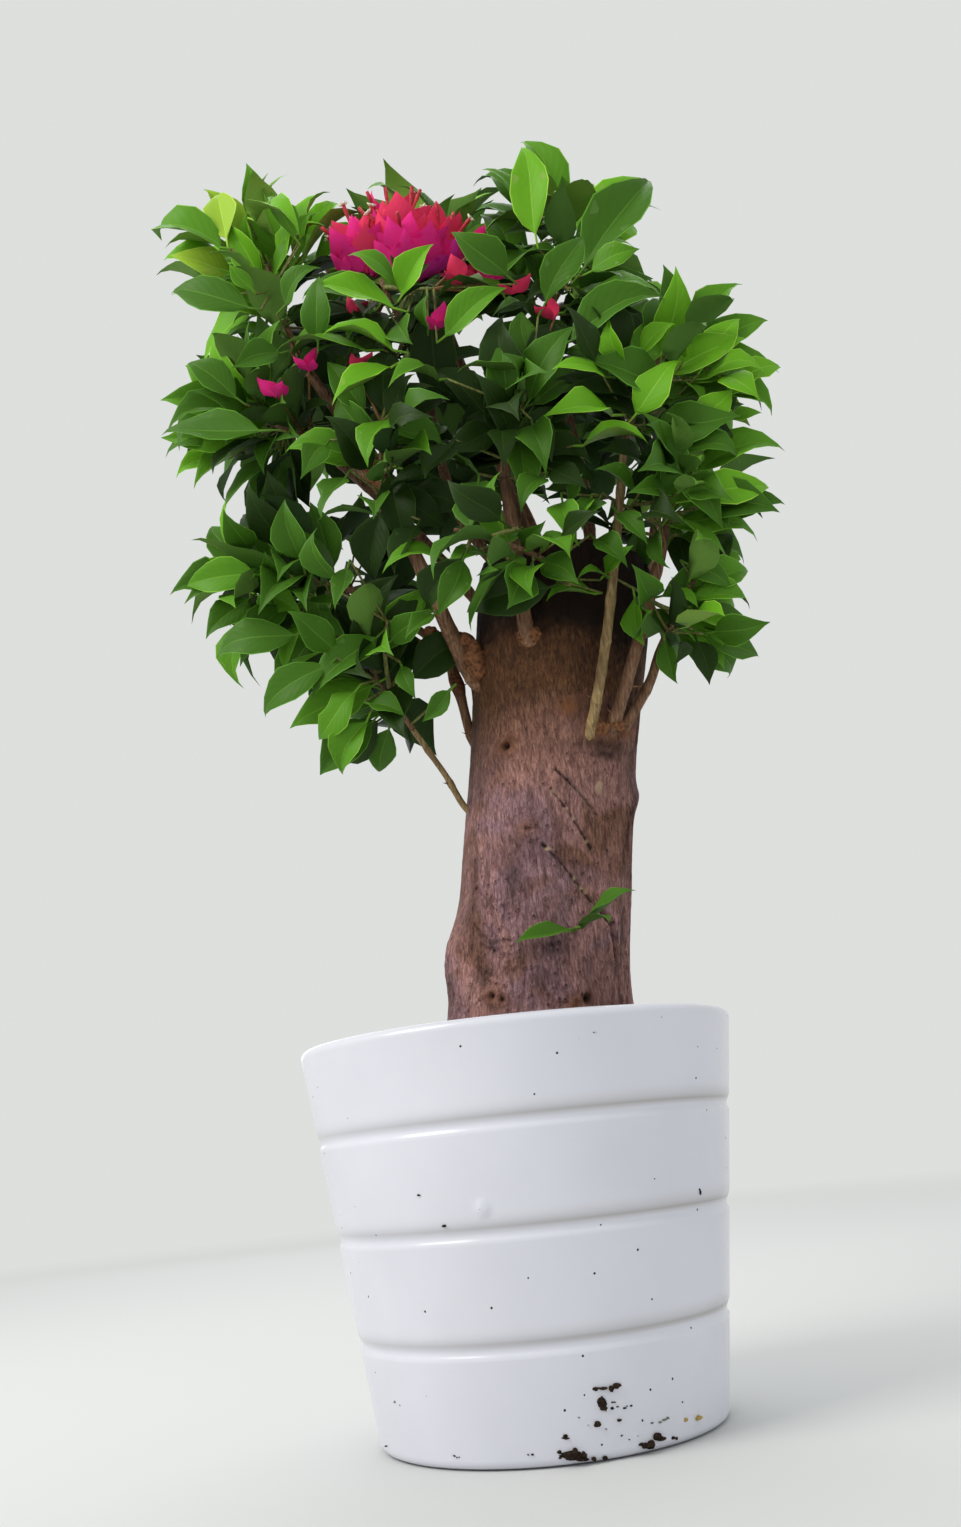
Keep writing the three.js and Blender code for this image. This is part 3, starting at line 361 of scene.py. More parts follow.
# The camera: place, turn, picture and focal length in pixels, sensor, and its axes in the frame
EYE = np.array([0, -651.81, 119.54])
YAW, PITCH, ROLL = np.radians((-0.27, 16.8, -5.85))
PHOTO = (961, 1527)
FOCAL_PIXELS = 1300
SENSOR = 36
CAMERA_REACH = (0.02, 50)
FORWARD = np.array([np.sin(YAW) * np.cos(PITCH), np.cos(YAW) * np.cos(PITCH), np.sin(PITCH)])
LEVEL = np.array([np.cos(YAW), -np.sin(YAW), 0])
RIGHT = LEVEL * np.cos(ROLL) + np.cross(LEVEL, FORWARD) * np.sin(ROLL)
ABOVE = np.cross(LEVEL, FORWARD) * np.cos(ROLL) - LEVEL * np.sin(ROLL)
# Lines of sight that stay open: a point in the middle, a radius, and how far past the point they reach. Sky
# shows through the first ones, and the last ones keep the bloom and the crown's dark inside in view
SKY = 1000
OPENINGS = (
    ((43.5, 0, 452.9), 8, SKY), ((68.7, 0, 431.7), 9, SKY), ((-69.1, 0, 478.4), 9, SKY),
    ((80.2, 0, 474.8), 3, SKY), ((21.7, 0, 571.8), 6, SKY), ((-64.1, 0, 428.7), 7, SKY),
    ((88, 0, 461.4), 3.5, SKY), ((101.8, 0, 692.1), 11, SKY), ((122.6, 0, 696.9), 11, SKY),
    ((82.5, 0, 699.1), 9, SKY), ((-34, -20, 640), 29, -18), ((-6, -20, 640), 29, -18),
    ((24, -20, 604), 9, -10), ((-19.5, -45, 432.3), 12, 0), ((9.3, -60, 403.5), 5, 0),
)

# The leaves that the photograph shows best, in its pixels: root and tip, the turn of the face from the eye
# towards the light in degrees, and the number of the tint. They lie on the crown's front, a half ball
FRONT = {"middle": np.array([12, 520]), "reach": np.array([200, 225]), "depth": 84, "root": 0.8}
SEEN_LEAVES = (
    (538, 249, 521, 147, 20, 3), (572, 284, 649, 181, 35, 1), (538, 317, 582, 236, 30, 1),
    (582, 276, 640, 249, 48, 2), (555, 348, 667, 300, 45, 1), (517, 284, 451, 232, 35, 1),
    (398, 302, 434, 244, 35, 3), (404, 290, 347, 256, 50, 2), (408, 312, 310, 288, 68, 3),
    (437, 343, 507, 288, 42, 2), (261, 310, 171, 295, 30, 1), (232, 249, 162, 241, 74, 2),
    (228, 248, 220, 195, 20, 4), (300, 245, 266, 198, 35, 2), (318, 352, 320, 276, 30, 1),
    (408, 353, 320, 338, 66, 3), (384, 350, 273, 356, 76, 2), (400, 362, 332, 406, 52, 3),
    (447, 379, 388, 388, 72, 2), (245, 404, 187, 364, 25, 1), (279, 430, 161, 436, 45, 1),
    (626, 377, 611, 316, 25, 3), (616, 378, 551, 370, 66, 3), (626, 426, 682, 361, 20, 3),
    (624, 415, 541, 418, 66, 3), (684, 434, 732, 389, 30, 3), (718, 400, 781, 368, 40, 3),
    (698, 374, 740, 319, 35, 3), (674, 446, 740, 464, 35, 1), (507, 423, 502, 471, 15, 0),
    (531, 419, 546, 475, 20, 1), (479, 474, 475, 524, 15, 1), (392, 412, 368, 468, 35, 2),
    (305, 572, 285, 499, 20, 1), (266, 573, 187, 586, 30, 2), (313, 628, 219, 666, 25, 1),
    (337, 658, 266, 718, 30, 1), (361, 684, 319, 740, 35, 2), (371, 712, 343, 775, 30, 2),
    (364, 702, 406, 718, 35, 1), (662, 632, 678, 684, 15, 1), (694, 630, 759, 658, 35, 1),
    (680, 560, 732, 590, 30, 1), (682, 598, 750, 610, 40, 2), (633, 588, 645, 646, 48, 2),
    (602, 593, 546, 602, 52, 2), (458, 558, 382, 574, 66, 2), (494, 553, 445, 573, 50, 2),
    (676, 503, 769, 488, 50, 3), (573, 446, 649, 445, 70, 3), (640, 492, 594, 470, 40, 1),
    (548, 472, 521, 514, 20, 1), (561, 493, 571, 552, 15, 2), (603, 493, 582, 531, 25, 1),
    (590, 535, 628, 568, 30, 1), (521, 552, 546, 520, 25, 1), (535, 556, 572, 538, 45, 2),
    (507, 553, 524, 571, 30, 2), (613, 577, 577, 580, 55, 2), (600, 580, 634, 545, 40, 2),
    (655, 527, 671, 569, 30, 1), (676, 514, 726, 560, 62, 2), (700, 508, 728, 533, 35, 1),
    (670, 585, 698, 608, 55, 2), (691, 615, 738, 634, 66, 3), (456, 684, 422, 722, 20, 1),
    (400, 662, 416, 700, 20, 1), (248, 218, 300, 238, 52, 3), (300, 240, 314, 211, 35, 2),
    (256, 294, 229, 264, 30, 2), (277, 314, 322, 268, 35, 1), (428, 335, 429, 293, 45, 1),
    (289, 351, 232, 368, 35, 1), (537, 373, 457, 373, 74, 2), (612, 506, 648, 546, 25, 1),
    (634, 358, 676, 324, 35, 3), (683, 362, 691, 332, 25, 3), (724, 421, 762, 413, 40, 2),
    (420, 520, 395, 575, 25, 0), (350, 560, 335, 610, 20, 1), (455, 440, 425, 480, 25, 0),
    (330, 440, 300, 480, 30, 1), (350, 470, 322, 520, 35, 1), (440, 610, 405, 640, 40, 1),
    (380, 512, 316, 525, 76, 1), (337, 590, 318, 527, 25, 1), (545, 466, 588, 490, 30, 0),
    (566, 503, 583, 473, 35, 1), (592, 494, 580, 547, 22, 2), (523, 527, 492, 552, 40, 1),
)


def chance(seed, first, second):
    """A repeatable number from 0 to 1: what a large sine leaves behind the point."""
    large = np.sin(seed * 12.9898 + first * 78.233 + second * 37.719) * 43758.5453
    return large - np.floor(large)


def strays(seed, number, counters):
    """Three numbers from -0.5 to 0.5, by chance."""
    return np.array([chance(seed, number, counter) - 0.5 for counter in counters])


def norm(vectors):
    """The lengths of vectors."""
    return np.linalg.norm(vectors, axis=-1)


def unit(vectors):
    """Vectors cut or drawn out to length one."""
    return vectors / np.maximum(norm(vectors)[..., None], 1e-9)


def nearest(points, place):
    """The point that lies nearest to a place."""
    return points[np.argmin(norm(points - place))]


def turns(count):
    """Angles all round, evenly."""
    return 2 * np.pi * np.arange(count) / count


def on_ball(height, angle):
    """The place on a ball of radius one at a height and an angle."""
    ring = np.sqrt(1 - height ** 2)
    return np.stack([ring * np.cos(angle), ring * np.sin(angle), height], -1)


def between(ends, share):
    """The value at a share of the way from one end to the other."""
    return ends[0] + (ends[1] - ends[0]) * share


def smooth(low, high, value):
    """A step from 0 to 1 that starts and ends level."""
    share = np.clip((value - low) / (high - low), 0, 1)
    return share * share * (3 - 2 * share)


def bell(distance):
    """A bell curve, one in the middle and near nothing past two."""
    return np.exp(-distance ** 2)


def wobble(points, cell, seed):
    """Smooth noise from -1 to 1: chance numbers at the corners of cells, blended by level steps between."""
    at = points / np.asarray(cell, float)
    low = np.floor(at)
    share = smooth(0, 1, at - low)
    total = 0
    for corner in itertools.product((0, 1), repeat=3):
        weight = np.prod(np.where(np.array(corner) == 1, share, 1 - share), axis=-1)
        key = low + np.array(corner)
        total = total + weight * chance(seed + 5.7 * key[..., 2], key[..., 0], key[..., 1])
    return 2 * total - 1


def layers(points, table):
    """Noise in layers: the sum of wobbles, each of its own depth, cell and seed."""
    return sum(depth * wobble(points, cell, seed) for depth, cell, seed in table)


def linear(shade):
    """A colour written as sRGB hex digits, as linear red, green, blue and one for alpha."""
    parts = np.array([int(shade[i:i + 2], 16) / 255 for i in (1, 3, 5)])
    parts = np.where(parts <= 0.04045, parts / 12.92, ((parts + 0.055) / 1.055) ** 2.4)
    return (*(float(part) for part in parts), 1.0)


def feed(node, inputs):
    """Gives a node's inputs, by name or in order, what they take: the first output in use of another node,
    one socket, a colour in hex digits or a plain value."""
    for key, source in inputs.items() if isinstance(inputs, dict) else enumerate(inputs):
        if isinstance(source, bpy.types.Node):
            source = next(output for output in source.outputs if output.enabled)
        if isinstance(source, bpy.types.NodeSocket):
            node.id_data.links.new(source, node.inputs[key])
        else:
            node.inputs[key].default_value = linear(source) if isinstance(source, str) else source


def add(tree, kind, inputs=(), stops=(), **settings):
    """Adds a node to a tree with its settings, its colour stops and its links. A range takes its value, its
    two ends and what they become, in order. A mix of colours takes its share at 0 and its colours at 6 and
    7."""
    made = tree.nodes.new("ShaderNode" + kind)
    for name, value in settings.items():
        setattr(made, name, value)
    for number, (place, shade) in enumerate(stops):
        stop = made.color_ramp.elements[number] if number < 2 else made.color_ramp.elements.new(place)
        stop.position = place
        stop.color = linear(shade)
    feed(made, inputs)
    return made


def new_material(name, shade, roughness, specular=0.5):
    """A material, the function that adds a node to it, and its one shader, whose colour, roughness and gloss
    are set on its own sockets."""
    made = bpy.data.materials.new(name)
    made.use_nodes = True
    made.diffuse_color = linear(shade)
    shader = made.node_tree.nodes["Principled BSDF"]
    feed(shader, {"Base Color": shade, "Roughness": roughness, "Specular IOR Level": specular})
    return made, functools.partial(add, made.node_tree), shader


# Scales of the patterns, as repeats to the metre, from real sizes. The glaze has clouds 70 mm wide, specks 9
# mm apart, ripples of 22 mm and splashes with grains of 3 mm. The soil has crumbs of 3 mm and grit of 1.4 mm
GLAZE = {"clouds": 14, "specks": 110, "ripples": 45, "splashes": 330}
SOIL = {"crumbs": 330, "grit": 700}
# The stump has fibres 1.1 mm thick, streaks of 4 mm, patches of 45 mm and pores 4.5 mm apart. Its bark turns
# ginger and loses its pores over heights in metres. Young boughs have fibres of 1.2 mm and pits 2 mm apart
STUMP = {
    "fibres": 900, "streaks": 260, "patches": 22, "pores": 220, "ginger": (0.275, 0.34), "bare": (0.25, 0.37),
}
YOUNG = {"fibres": 800, "patches": 60, "pits": 520}
# Side veins, in lengths of the blade: how much they slant forward, and how closely they follow one another
VEINS = {"slant": -0.32, "closeness": 50}


def glazed_ceramic():
    """White glazed stoneware, slip cast and dipped: an even cool white with soft gloss, a faint unevenness of
    the glaze, a few iron specks, grey brown painted shade in the grooves, and splashes of soil."""
    made, node, shader = new_material("white_glazed_stoneware", "#e4e9f0", 0.2)
    place = node("TexCoord").outputs["Object"]
    cloud = node("TexNoise", {"Vector": place, "Scale": GLAZE["clouds"], "Detail": 3})
    tone = node("ValToRGB", [cloud], ((0.35, "#d5d6e0"), (0.65, "#dbdce6")))
    groove_shade = node("Attribute", attribute_name="groove_shade").outputs["Fac"]
    speck = node("TexVoronoi", {"Vector": place, "Scale": GLAZE["specks"]})
    rare = node("SeparateColor", [speck.outputs["Color"]])
    kept = node("Math", [rare, 0.35], operation="GREATER_THAN")
    small = node("MapRange", [speck, 0.065, 0.05])
    dot = node("Math", [kept, small], operation="MULTIPLY")
    splash = node("Attribute", attribute_name="splash").outputs["Fac"]
    grain = node("TexNoise", {"Vector": place, "Scale": GLAZE["splashes"], "Detail": 4, "Roughness": 0.7})
    reach = node("Math", [grain, splash], operation="ADD")
    soiled = node("MapRange", [reach, 1.02, 1.08, 0, 0.9])
    coat = tone
    # The grey brown layer over the grooves is painted shade
    for amount, shade in ((groove_shade, "#8b8174"), (dot, "#1f1a16"), (soiled, "#3a2a20")):
        coat = node("Mix", {0: amount, 6: coat, 7: shade}, data_type="RGBA")
    matte = node("MapRange", [soiled, 0, 0.9, 0.2, 0.85])
    ripple = node("TexNoise", {"Vector": place, "Scale": GLAZE["ripples"], "Detail": 2})
    bump = node("Bump", {"Height": ripple, "Strength": 0.05, "Distance": 0.002})
    feed(shader, {"Base Color": coat, "Roughness": matte, "Normal": bump})
    return made


def potting_soil():
    """Moist potting soil of peat and composted bark: near black brown, matte, with crumbs of 1 to 4 mm."""
    made, node, shader = new_material("moist_potting_soil", "#2c2119", 0.95, 0.2)
    place = node("TexCoord").outputs["Object"]
    crumbs = node("TexVoronoi", {"Vector": place, "Scale": SOIL["crumbs"]})
    grit = node("TexNoise", {"Vector": place, "Scale": SOIL["grit"], "Detail": 5, "Roughness": 0.7})
    tone = node("ValToRGB", [grit], ((0.3, "#150f0b"), (0.62, "#3a2b20"), (0.75, "#5d4733")))
    rough = node("Math", [crumbs, grit], operation="ADD")
    bump = node("Bump", {"Height": rough, "Strength": 0.8, "Distance": 0.0015})
    feed(shader, {"Base Color": tone, "Normal": bump})
    return made


def old_bark():
    """Bark of an old bougainvillea stump, weathered: mauve to violet brown with fine upright fibres and
    scattered small dark pores, ginger near the boughs, pale flecks in healed cuts, and near black painted
    shade and shadow where the dark mark lies: over the top and in fissures, cuts, knot holes and hollows."""
    made, node, shader = new_material("weathered_stump_bark", "#6d4a45", 0.8, 0.2)
    place = node("TexCoord").outputs["Object"]
    height = node("SeparateXYZ", [place]).outputs["Z"]
    upright = node("Mapping", {"Vector": place, "Scale": (1, 1, 0.24), "Rotation": (0, 0.17, 0)})
    fibre = node("TexNoise", {"Vector": upright, "Scale": STUMP["fibres"], "Detail": 5, "Roughness": 0.75,
                              "Distortion": 0.7})
    streak = node("TexNoise", {"Vector": upright, "Scale": STUMP["streaks"], "Detail": 4, "Roughness": 0.65,
                               "Distortion": 0.8})
    patch = node("TexNoise", {"Vector": place, "Scale": STUMP["patches"], "Detail": 3, "Distortion": 0.8})
    red, green, blue = node("SeparateColor", [patch.outputs["Color"]]).outputs
    mauve, violet, ginger = (
        node("ValToRGB", [fibre], ((0.36, low), (0.64, high)))
        for low, high in (("#845a55", "#d8a59e"), ("#705058", "#bc96a0"), ("#4c2f1d", "#966845")))
    bluer = node("MapRange", [green, 0.48, 0.6, 0, 0.8])
    redder = node("MapRange", [red, 0.52, 0.64, 0, 0.7])
    higher = node("MapRange", [height, *STUMP["ginger"]])
    lifted = node("Math", [redder, higher], operation="MAXIMUM")
    streaky = node("MapRange", [streak, 0.38, 0.52, 0.46, 0])
    dimmer = node("MapRange", [blue, 0.38, 0.5, 0.3, 0])
    callus, pale, dark = (node("Attribute", attribute_name=mark).outputs["Fac"]
                          for mark in ("callus", "pale", "dark"))
    pores = node("TexVoronoi", {"Vector": place, "Scale": STUMP["pores"]})
    dealt = node("SeparateColor", [pores.outputs["Color"]])
    fewer = node("MapRange", [height, *STUMP["bare"], 0.25, 0.85])
    kept = node("Math", [dealt, fewer], operation="GREATER_THAN")
    round_pore = node("MapRange", [pores, 0.22, 0.1, 0, 0.75])
    pore = node("Math", [round_pore, kept], operation="MULTIPLY")
    coat = mauve
    # The last, near black layer is the dark mark: painted shade and painted shadow
    for amount, shade in ((bluer, violet), (lifted, ginger), (streaky, "#3a2320"), (dimmer, "#38221d"),
                          (callus, "#94603a"), (pore, "#2f1a1a"), (pale, "#d6bd98"), (dark, "#140d0a")):
        coat = node("Mix", {0: amount, 6: coat, 7: shade}, data_type="RGBA")
    rise = node("Math", [streak, 0.7, fibre], operation="MULTIPLY_ADD")
    swollen = node("MapRange", [pores, 0.4, 0.2, 0, 0.5])
    lump = node("Math", [swollen, kept, rise], operation="MULTIPLY_ADD")
    bump = node("Bump", {"Height": lump, "Strength": 1, "Distance": 0.0024})
    feed(shader, {"Base Color": coat, "Normal": bump})
    return made


def grained(name, light, dark, roughness, scale):
    """A dry skin of one kind, with grain of a scale per metre: its colour goes between two shades, and the
    grain stands out a little."""
    made, node, shader = new_material(name, light, roughness, 0.2)
    place = node("TexCoord").outputs["Object"]
    grain = node("TexNoise", {"Vector": place, "Scale": scale, "Detail": 3})
    tone = node("ValToRGB", [grain], ((0.35, dark), (0.65, light)))
    bump = node("Bump", {"Height": grain, "Strength": 0.3, "Distance": 0.0004})
    feed(shader, {"Base Color": tone, "Normal": bump})
    return made


def bough_bark(name, light, middle, dark, roughness):
    """Smooth bark of younger boughs, dry: tan to brown with long fine streaks and darker flecks, and rough
    pitted wood where it has healed."""
    made, node, shader = new_material(name, middle, roughness, 0.3)
    place = node("TexCoord").outputs["Object"]
    upright = node("Mapping", {"Vector": place, "Scale": (1, 1, 0.12)})
    fibre = node("TexNoise", {"Vector": upright, "Scale": YOUNG["fibres"], "Detail": 4, "Roughness": 0.6})
    tone = node("ValToRGB", [fibre], ((0.3, dark), (0.5, middle), (0.72, light)))
    patch = node("TexNoise", {"Vector": place, "Scale": YOUNG["patches"], "Detail": 2})
    amount = node("MapRange", [patch, 0.45, 0.7, 0, 0.6])
    patched = node("Mix", {0: amount, 6: tone, 7: dark}, data_type="RGBA")
    callus = node("Attribute", attribute_name="callus").outputs["Fac"]
    pits = node("TexVoronoi", {"Vector": place, "Scale": YOUNG["pits"]})
    pitted = node("ValToRGB", [pits], ((0, "#2e1a0e"), (0.3, "#59371f"), (0.75, "#825433")))
    healed = node("Mix", {0: callus, 6: patched, 7: pitted}, data_type="RGBA")
    bump = node("Bump", {"Height": fibre, "Strength": 0.5, "Distance": 0.0006})
    feed(shader, {"Base Color": healed, "Normal": bump})
    return made


def leaf_surface(name, shade, roughness, specular):
    """Waxy skin of a leaf or bract, as grown: one plain tint with soft gloss, and shallow side veins that
    rise from the midrib at about 50 degrees, 5 mm apart, in relief only."""
    made, node, shader = new_material(name, shade, roughness, specular)
    own = node("UVMap", uv_map="blade")
    across, along, _ = node("SeparateXYZ", [own]).outputs
    side = node("Math", [across], operation="ABSOLUTE")
    slant = node("Math", [side, VEINS["slant"], along], operation="MULTIPLY_ADD")
    rows = node("Math", [slant, VEINS["closeness"]], operation="MULTIPLY")
    vein = node("Math", [rows], operation="SINE")
    bump = node("Bump", {"Height": vein, "Strength": 0.07, "Distance": 0.0006})
    feed(shader, {"Normal": bump})
    return made


def leaf_surfaces(name, shades, finishes):
    """The four skins of a kind of leaf or bract: each with its shade, and with its roughness and gloss."""
    return [leaf_surface(f"{name}_{part}", shade, *finish)
            for shade, (part, finish) in zip(shades, finishes.items())]


def flat(values, kind=np.float32):
    """Values as one flat array of a kind."""
    return np.asarray(values).astype(kind).ravel()


def add_mesh(name, places, faces, materials, kinds=None, marks=None, blade=None, creases=None):
    """A mesh object from arrays: places in millimetres, faces as lists of three or four corners, and for
    each face the number of its material. Marks are named values at each place, and blade is a place on a
    leaf. An edge is sharp where the crease numbers of both its ends share a bit."""
    mesh = bpy.data.meshes.new(name)
    mesh.vertices.add(len(places))
    mesh.vertices.foreach_set("co", flat(np.asarray(places) * MM))
    sizes = np.concatenate([np.full(len(part), part.shape[1]) for part in faces])
    corners = np.concatenate([part.ravel() for part in faces]).astype(np.int32)
    mesh.loops.add(len(corners))
    mesh.loops.foreach_set("vertex_index", corners)
    mesh.polygons.add(len(sizes))
    mesh.polygons.foreach_set("loop_start", flat(np.cumsum(sizes) - sizes, np.int32))
    mesh.polygons.foreach_set("use_smooth", np.full(len(sizes), True))
    if kinds is not None:
        mesh.polygons.foreach_set("material_index", flat(kinds, np.int32))
    for material in materials:
        mesh.materials.append(material)
    if blade is not None:
        mesh.uv_layers.new(name="blade").data.foreach_set("uv", flat(blade[corners]))
    for mark, values in (marks or {}).items():
        mesh.attributes.new(mark, "FLOAT", "POINT").data.foreach_set("value", flat(values))
    mesh.update(calc_edges=True)
    if creases is not None:
        ends = np.zeros(2 * len(mesh.edges), np.int32)
        mesh.edges.foreach_get("vertices", ends)
        mesh.edges.foreach_set("use_edge_sharp", (creases[ends[::2]] & creases[ends[1::2]]) > 0)
    made = bpy.data.objects.new(name, mesh)
    bpy.context.scene.collection.objects.link(made)
    return made


def make_piece(name, places, faces, materials, nodes, slot, **rest):
    """A finished piece: its mesh rides on the part's one body, in place of its nodes; its slot is not used.
    """
    made = add_mesh(name, places, faces, materials, **rest)
    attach(made, "root")
    if nodes:
        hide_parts(*nodes)


def kind_of_faces(shape, kind):
    """The same number for each face of a shape."""
    return np.full(sum(len(group) for group in shape[1]), kind)


def grid_faces(rows, columns):
    """Quads between neighbouring rows of a grid whose last column is joined to its first."""
    row, column = np.meshgrid(np.arange(rows - 1), np.arange(columns), indexing="ij")
    after = (column + 1) % columns
    corners = (row * columns + column, row * columns + after, (row + 1) * columns + after,
               (row + 1) * columns + column)
    return np.stack(corners, -1).reshape(-1, 4)


def shell_faces(count, rows, columns):
    """The faces of closed shells, all alike: on each a grid whose first and last rows are closed by
    triangles to a point, and both points come after the grid's own."""
    column = np.arange(columns)
    after = (column + 1) % columns
    above, total = (rows - 1) * columns, rows * columns
    bottom = np.stack([np.full(columns, total), after, column], -1)
    top = np.stack([above + column, above + after, np.full(columns, total + 1)], -1)
    start = (np.arange(count) * (total + 2))[:, None, None]
    return [(grid_faces(rows, columns) + start).reshape(-1, 4),
            (np.concatenate([bottom, top]) + start).reshape(-1, 3)]


def lathe(profile, segments):
    """A profile of radius and height turned about the upright axis, which has its first and last points."""
    angle = turns(segments)
    rings = profile[1:-1]
    around = np.stack([np.cos(angle), np.sin(angle)], -1)
    places = np.concatenate([rings[:, None, :1] * around, np.repeat(rings[:, None, 1:], segments, 1)], -1)
    poles = np.array([[0, 0, profile[0, 1]], [0, 0, profile[-1, 1]]])
    return np.concatenate([places.reshape(-1, 3), poles]), shell_faces(1, len(rings), segments)


def tubes(paths, radii, sides):
    """Closed tubes, all alike in rings: a ring of the radius about each point of a path, square to the way
    the path runs there, and a point on each end."""
    count, steps = radii.shape[:2]
    along = unit(np.gradient(paths, axis=1))
    chord = unit(paths[:, -1] - paths[:, 0])
    reference = np.where(np.abs(chord[:, 2:]) < 0.8, UP, SIDEWAYS)[:, None]
    across = unit(np.cross(along, reference))
    beside = np.cross(along, across)
    angle = turns(sides)[:, None]
    ring = across[:, :, None] * np.cos(angle) + beside[:, :, None] * np.sin(angle)
    size = radii[:, :, None] if radii.ndim == 2 else radii
    places = (paths[:, :, None] + size[..., None] * ring).reshape(count, -1, 3)
    places = np.concatenate([places, paths[:, [0, -1]]], axis=1)
    return places.reshape(-1, 3), shell_faces(count, steps, sides)


def join(parts):
    """Places and faces of several shapes as one, each shape's corner numbers moved past the ones before."""
    places, faces, start = [], [], 0
    for some, groups in parts:
        places.append(some)
        faces.extend(group + start for group in groups)
        start += len(some)
    return np.concatenate(places), faces


# Pot and soil
def pot_radius(height):
    """The outer radius of the cone wall at a height."""
    return between((POT_BASE_RADIUS, POT_RIM_RADIUS), height / POT_HEIGHT)


def arc(centre, radius, ends, steps):
    """Points of radius and height on part of a circle, between two angles in degrees."""
    angle = np.radians(np.linspace(*ends, steps + 1))
    return np.stack([centre[0] + radius * np.cos(angle), centre[1] + radius * np.sin(angle)], -1)


def make_pot():
    """A lathe profile: flat underside, rounded foot, cone wall with grooves that slope in slowly from above
    and come out again in a short ledge, round lip, and the inside wall down to the floor. A drip of the glaze
    is a bell on the wall. Splashes of soil and painted shade over the grooves, stronger on the +X side, are
    marked on it."""
    lip = POT_WALL / 2
    lip_height = POT_HEIGHT - lip
    height = np.linspace(POT_FOOT_ROUND + 1, lip_height - 1, 150)
    depth = np.zeros_like(height)
    for middle in GROOVE_HEIGHTS:
        share = np.clip((height - middle) / GROOVE_HALF_WIDTH, -1, 1)
        depth += GROOVE_DEPTH * smooth(1, -0.45, share) * smooth(-1, -0.5, share)
    wall = np.stack([pot_radius(height) - depth, height], -1)
    inside = np.linspace(lip_height - 2, POT_FLOOR + 4, 24)
    flat = np.linspace(8, POT_BASE_RADIUS - 10, 8)
    profile = np.concatenate([
        [[0, 0]],
        np.stack([flat, 0 * flat], -1),
        arc((pot_radius(POT_FOOT_ROUND) - POT_FOOT_ROUND, POT_FOOT_ROUND), POT_FOOT_ROUND, (-90, 0), 6),
        wall,
        arc((pot_radius(lip_height) - lip, lip_height), lip, (0, 180), 14),
        np.stack([pot_radius(inside) - POT_WALL, inside], -1),
        arc((pot_radius(POT_FLOOR) - POT_WALL - 4, POT_FLOOR + 4), 4, (0, -90), 5),
        [[0, POT_FLOOR]],
    ])
    places, faces = lathe(profile, POT_SEGMENTS)
    facing = np.degrees(np.arctan2(places[:, 1], places[:, 0])) % 360
    splash = np.zeros(len(places))
    for turn, rise, wide, high, amount in SPLASHES:
        off = np.hypot((facing - turn) / wide, (places[:, 2] - rise) / high)
        splash = np.maximum(splash, amount * bell(off))
    outside = np.hypot(places[:, 0], places[:, 1]) > pot_radius(places[:, 2]) - POT_WALL / 2
    turn, rise, wide, high, swell = DRIP
    off = np.hypot(np.radians(facing - turn) * pot_radius(rise) / wide, (places[:, 2] - rise) / high)
    places[:, :2] *= 1 + (swell * bell(off ** 2) * outside)[:, None] / pot_radius(rise)
    # Painted shade over the upper slope of each groove, stronger towards +X
    over = places[:, 2:] - np.array(GROOVE_HEIGHTS)
    groove_shade = sum(amount * bell((over - rise) / high).sum(-1) for rise, high, amount in GROOVE_SHADE)
    groove_shade *= between((0.45, 1), smooth(-80, 80, places[:, 0])) * outside
    make_piece("pot_glazed", places, faces, [glazed_ceramic()], ["pot"], "pot_glaze",
               marks={"splash": splash * outside, "groove_shade": groove_shade})


def make_soil(material):
    """A lathe that fills the pot, its top a little uneven and heaped at the trunk, with loose crumbs on
    it."""
    inner = POT_WALL + GAP
    floor = POT_FLOOR + GAP
    across = np.linspace(1, 0.02, 60)[:, None]
    top = (pot_radius(SOIL_HEIGHT) - inner - 0.2) * across
    top = np.concatenate([top, np.full_like(across, SOIL_HEIGHT)], -1)
    side = np.array([[12, floor], [pot_radius(floor) - inner - 0.2, floor]])
    places, faces = lathe(np.concatenate([[[0, floor]], side, top, [[0, SOIL_HEIGHT]]]), SOIL_SEGMENTS)
    upper = places[:, 2] > SOIL_HEIGHT - 1
    outer = smooth(*SOIL_EDGE, np.hypot(places[:, 0], places[:, 1]))
    rough = layers(places, SOIL_GRAIN)
    places[:, 2] += upper * (rough - 1.2 - SOIL_FALL * outer)
    number = np.arange(SOIL_CRUMBS)
    distance = SOIL_REACH * np.sqrt(chance(5, number, 1))
    angle = GOLDEN_ANGLE * number
    centre = np.stack([distance * np.cos(angle), distance * np.sin(angle),
                       np.full(SOIL_CRUMBS, SOIL_HEIGHT - 0.9)], -1)
    crumbs = pebbles(centre, between(CRUMB_SIZES, chance(5, number, 2) ** 2)[:, None] * FLAT_LUMP, 9)
    make_piece("soil_surface", *join([(places, faces), crumbs]), [material], ["soil"], "soil")


def pebbles(centres, sizes, seed, columns=6, tilts=(-50, -10, 30, 60), cell=0.8):
    """Uneven lumps: a grid on a ball, each place moved in or out by noise, drawn out to the sizes."""
    turn, tilt = turns(columns), np.radians(tilts)[:, None]
    ball = np.stack([np.cos(tilt) * np.cos(turn), np.cos(tilt) * np.sin(turn),
                     np.repeat(np.sin(tilt), columns, 1)], -1)
    ball = np.concatenate([ball.reshape(-1, 3), [[0, 0, -1], [0, 0, 1]]])
    lumps = ball[None] * (1 + 0.3 * wobble(ball[None] + centres[:, None], cell, seed))[..., None]
    lumps = centres[:, None] + lumps * sizes[:, None]
    return lumps.reshape(-1, 3), shell_faces(len(centres), len(tilt), columns)


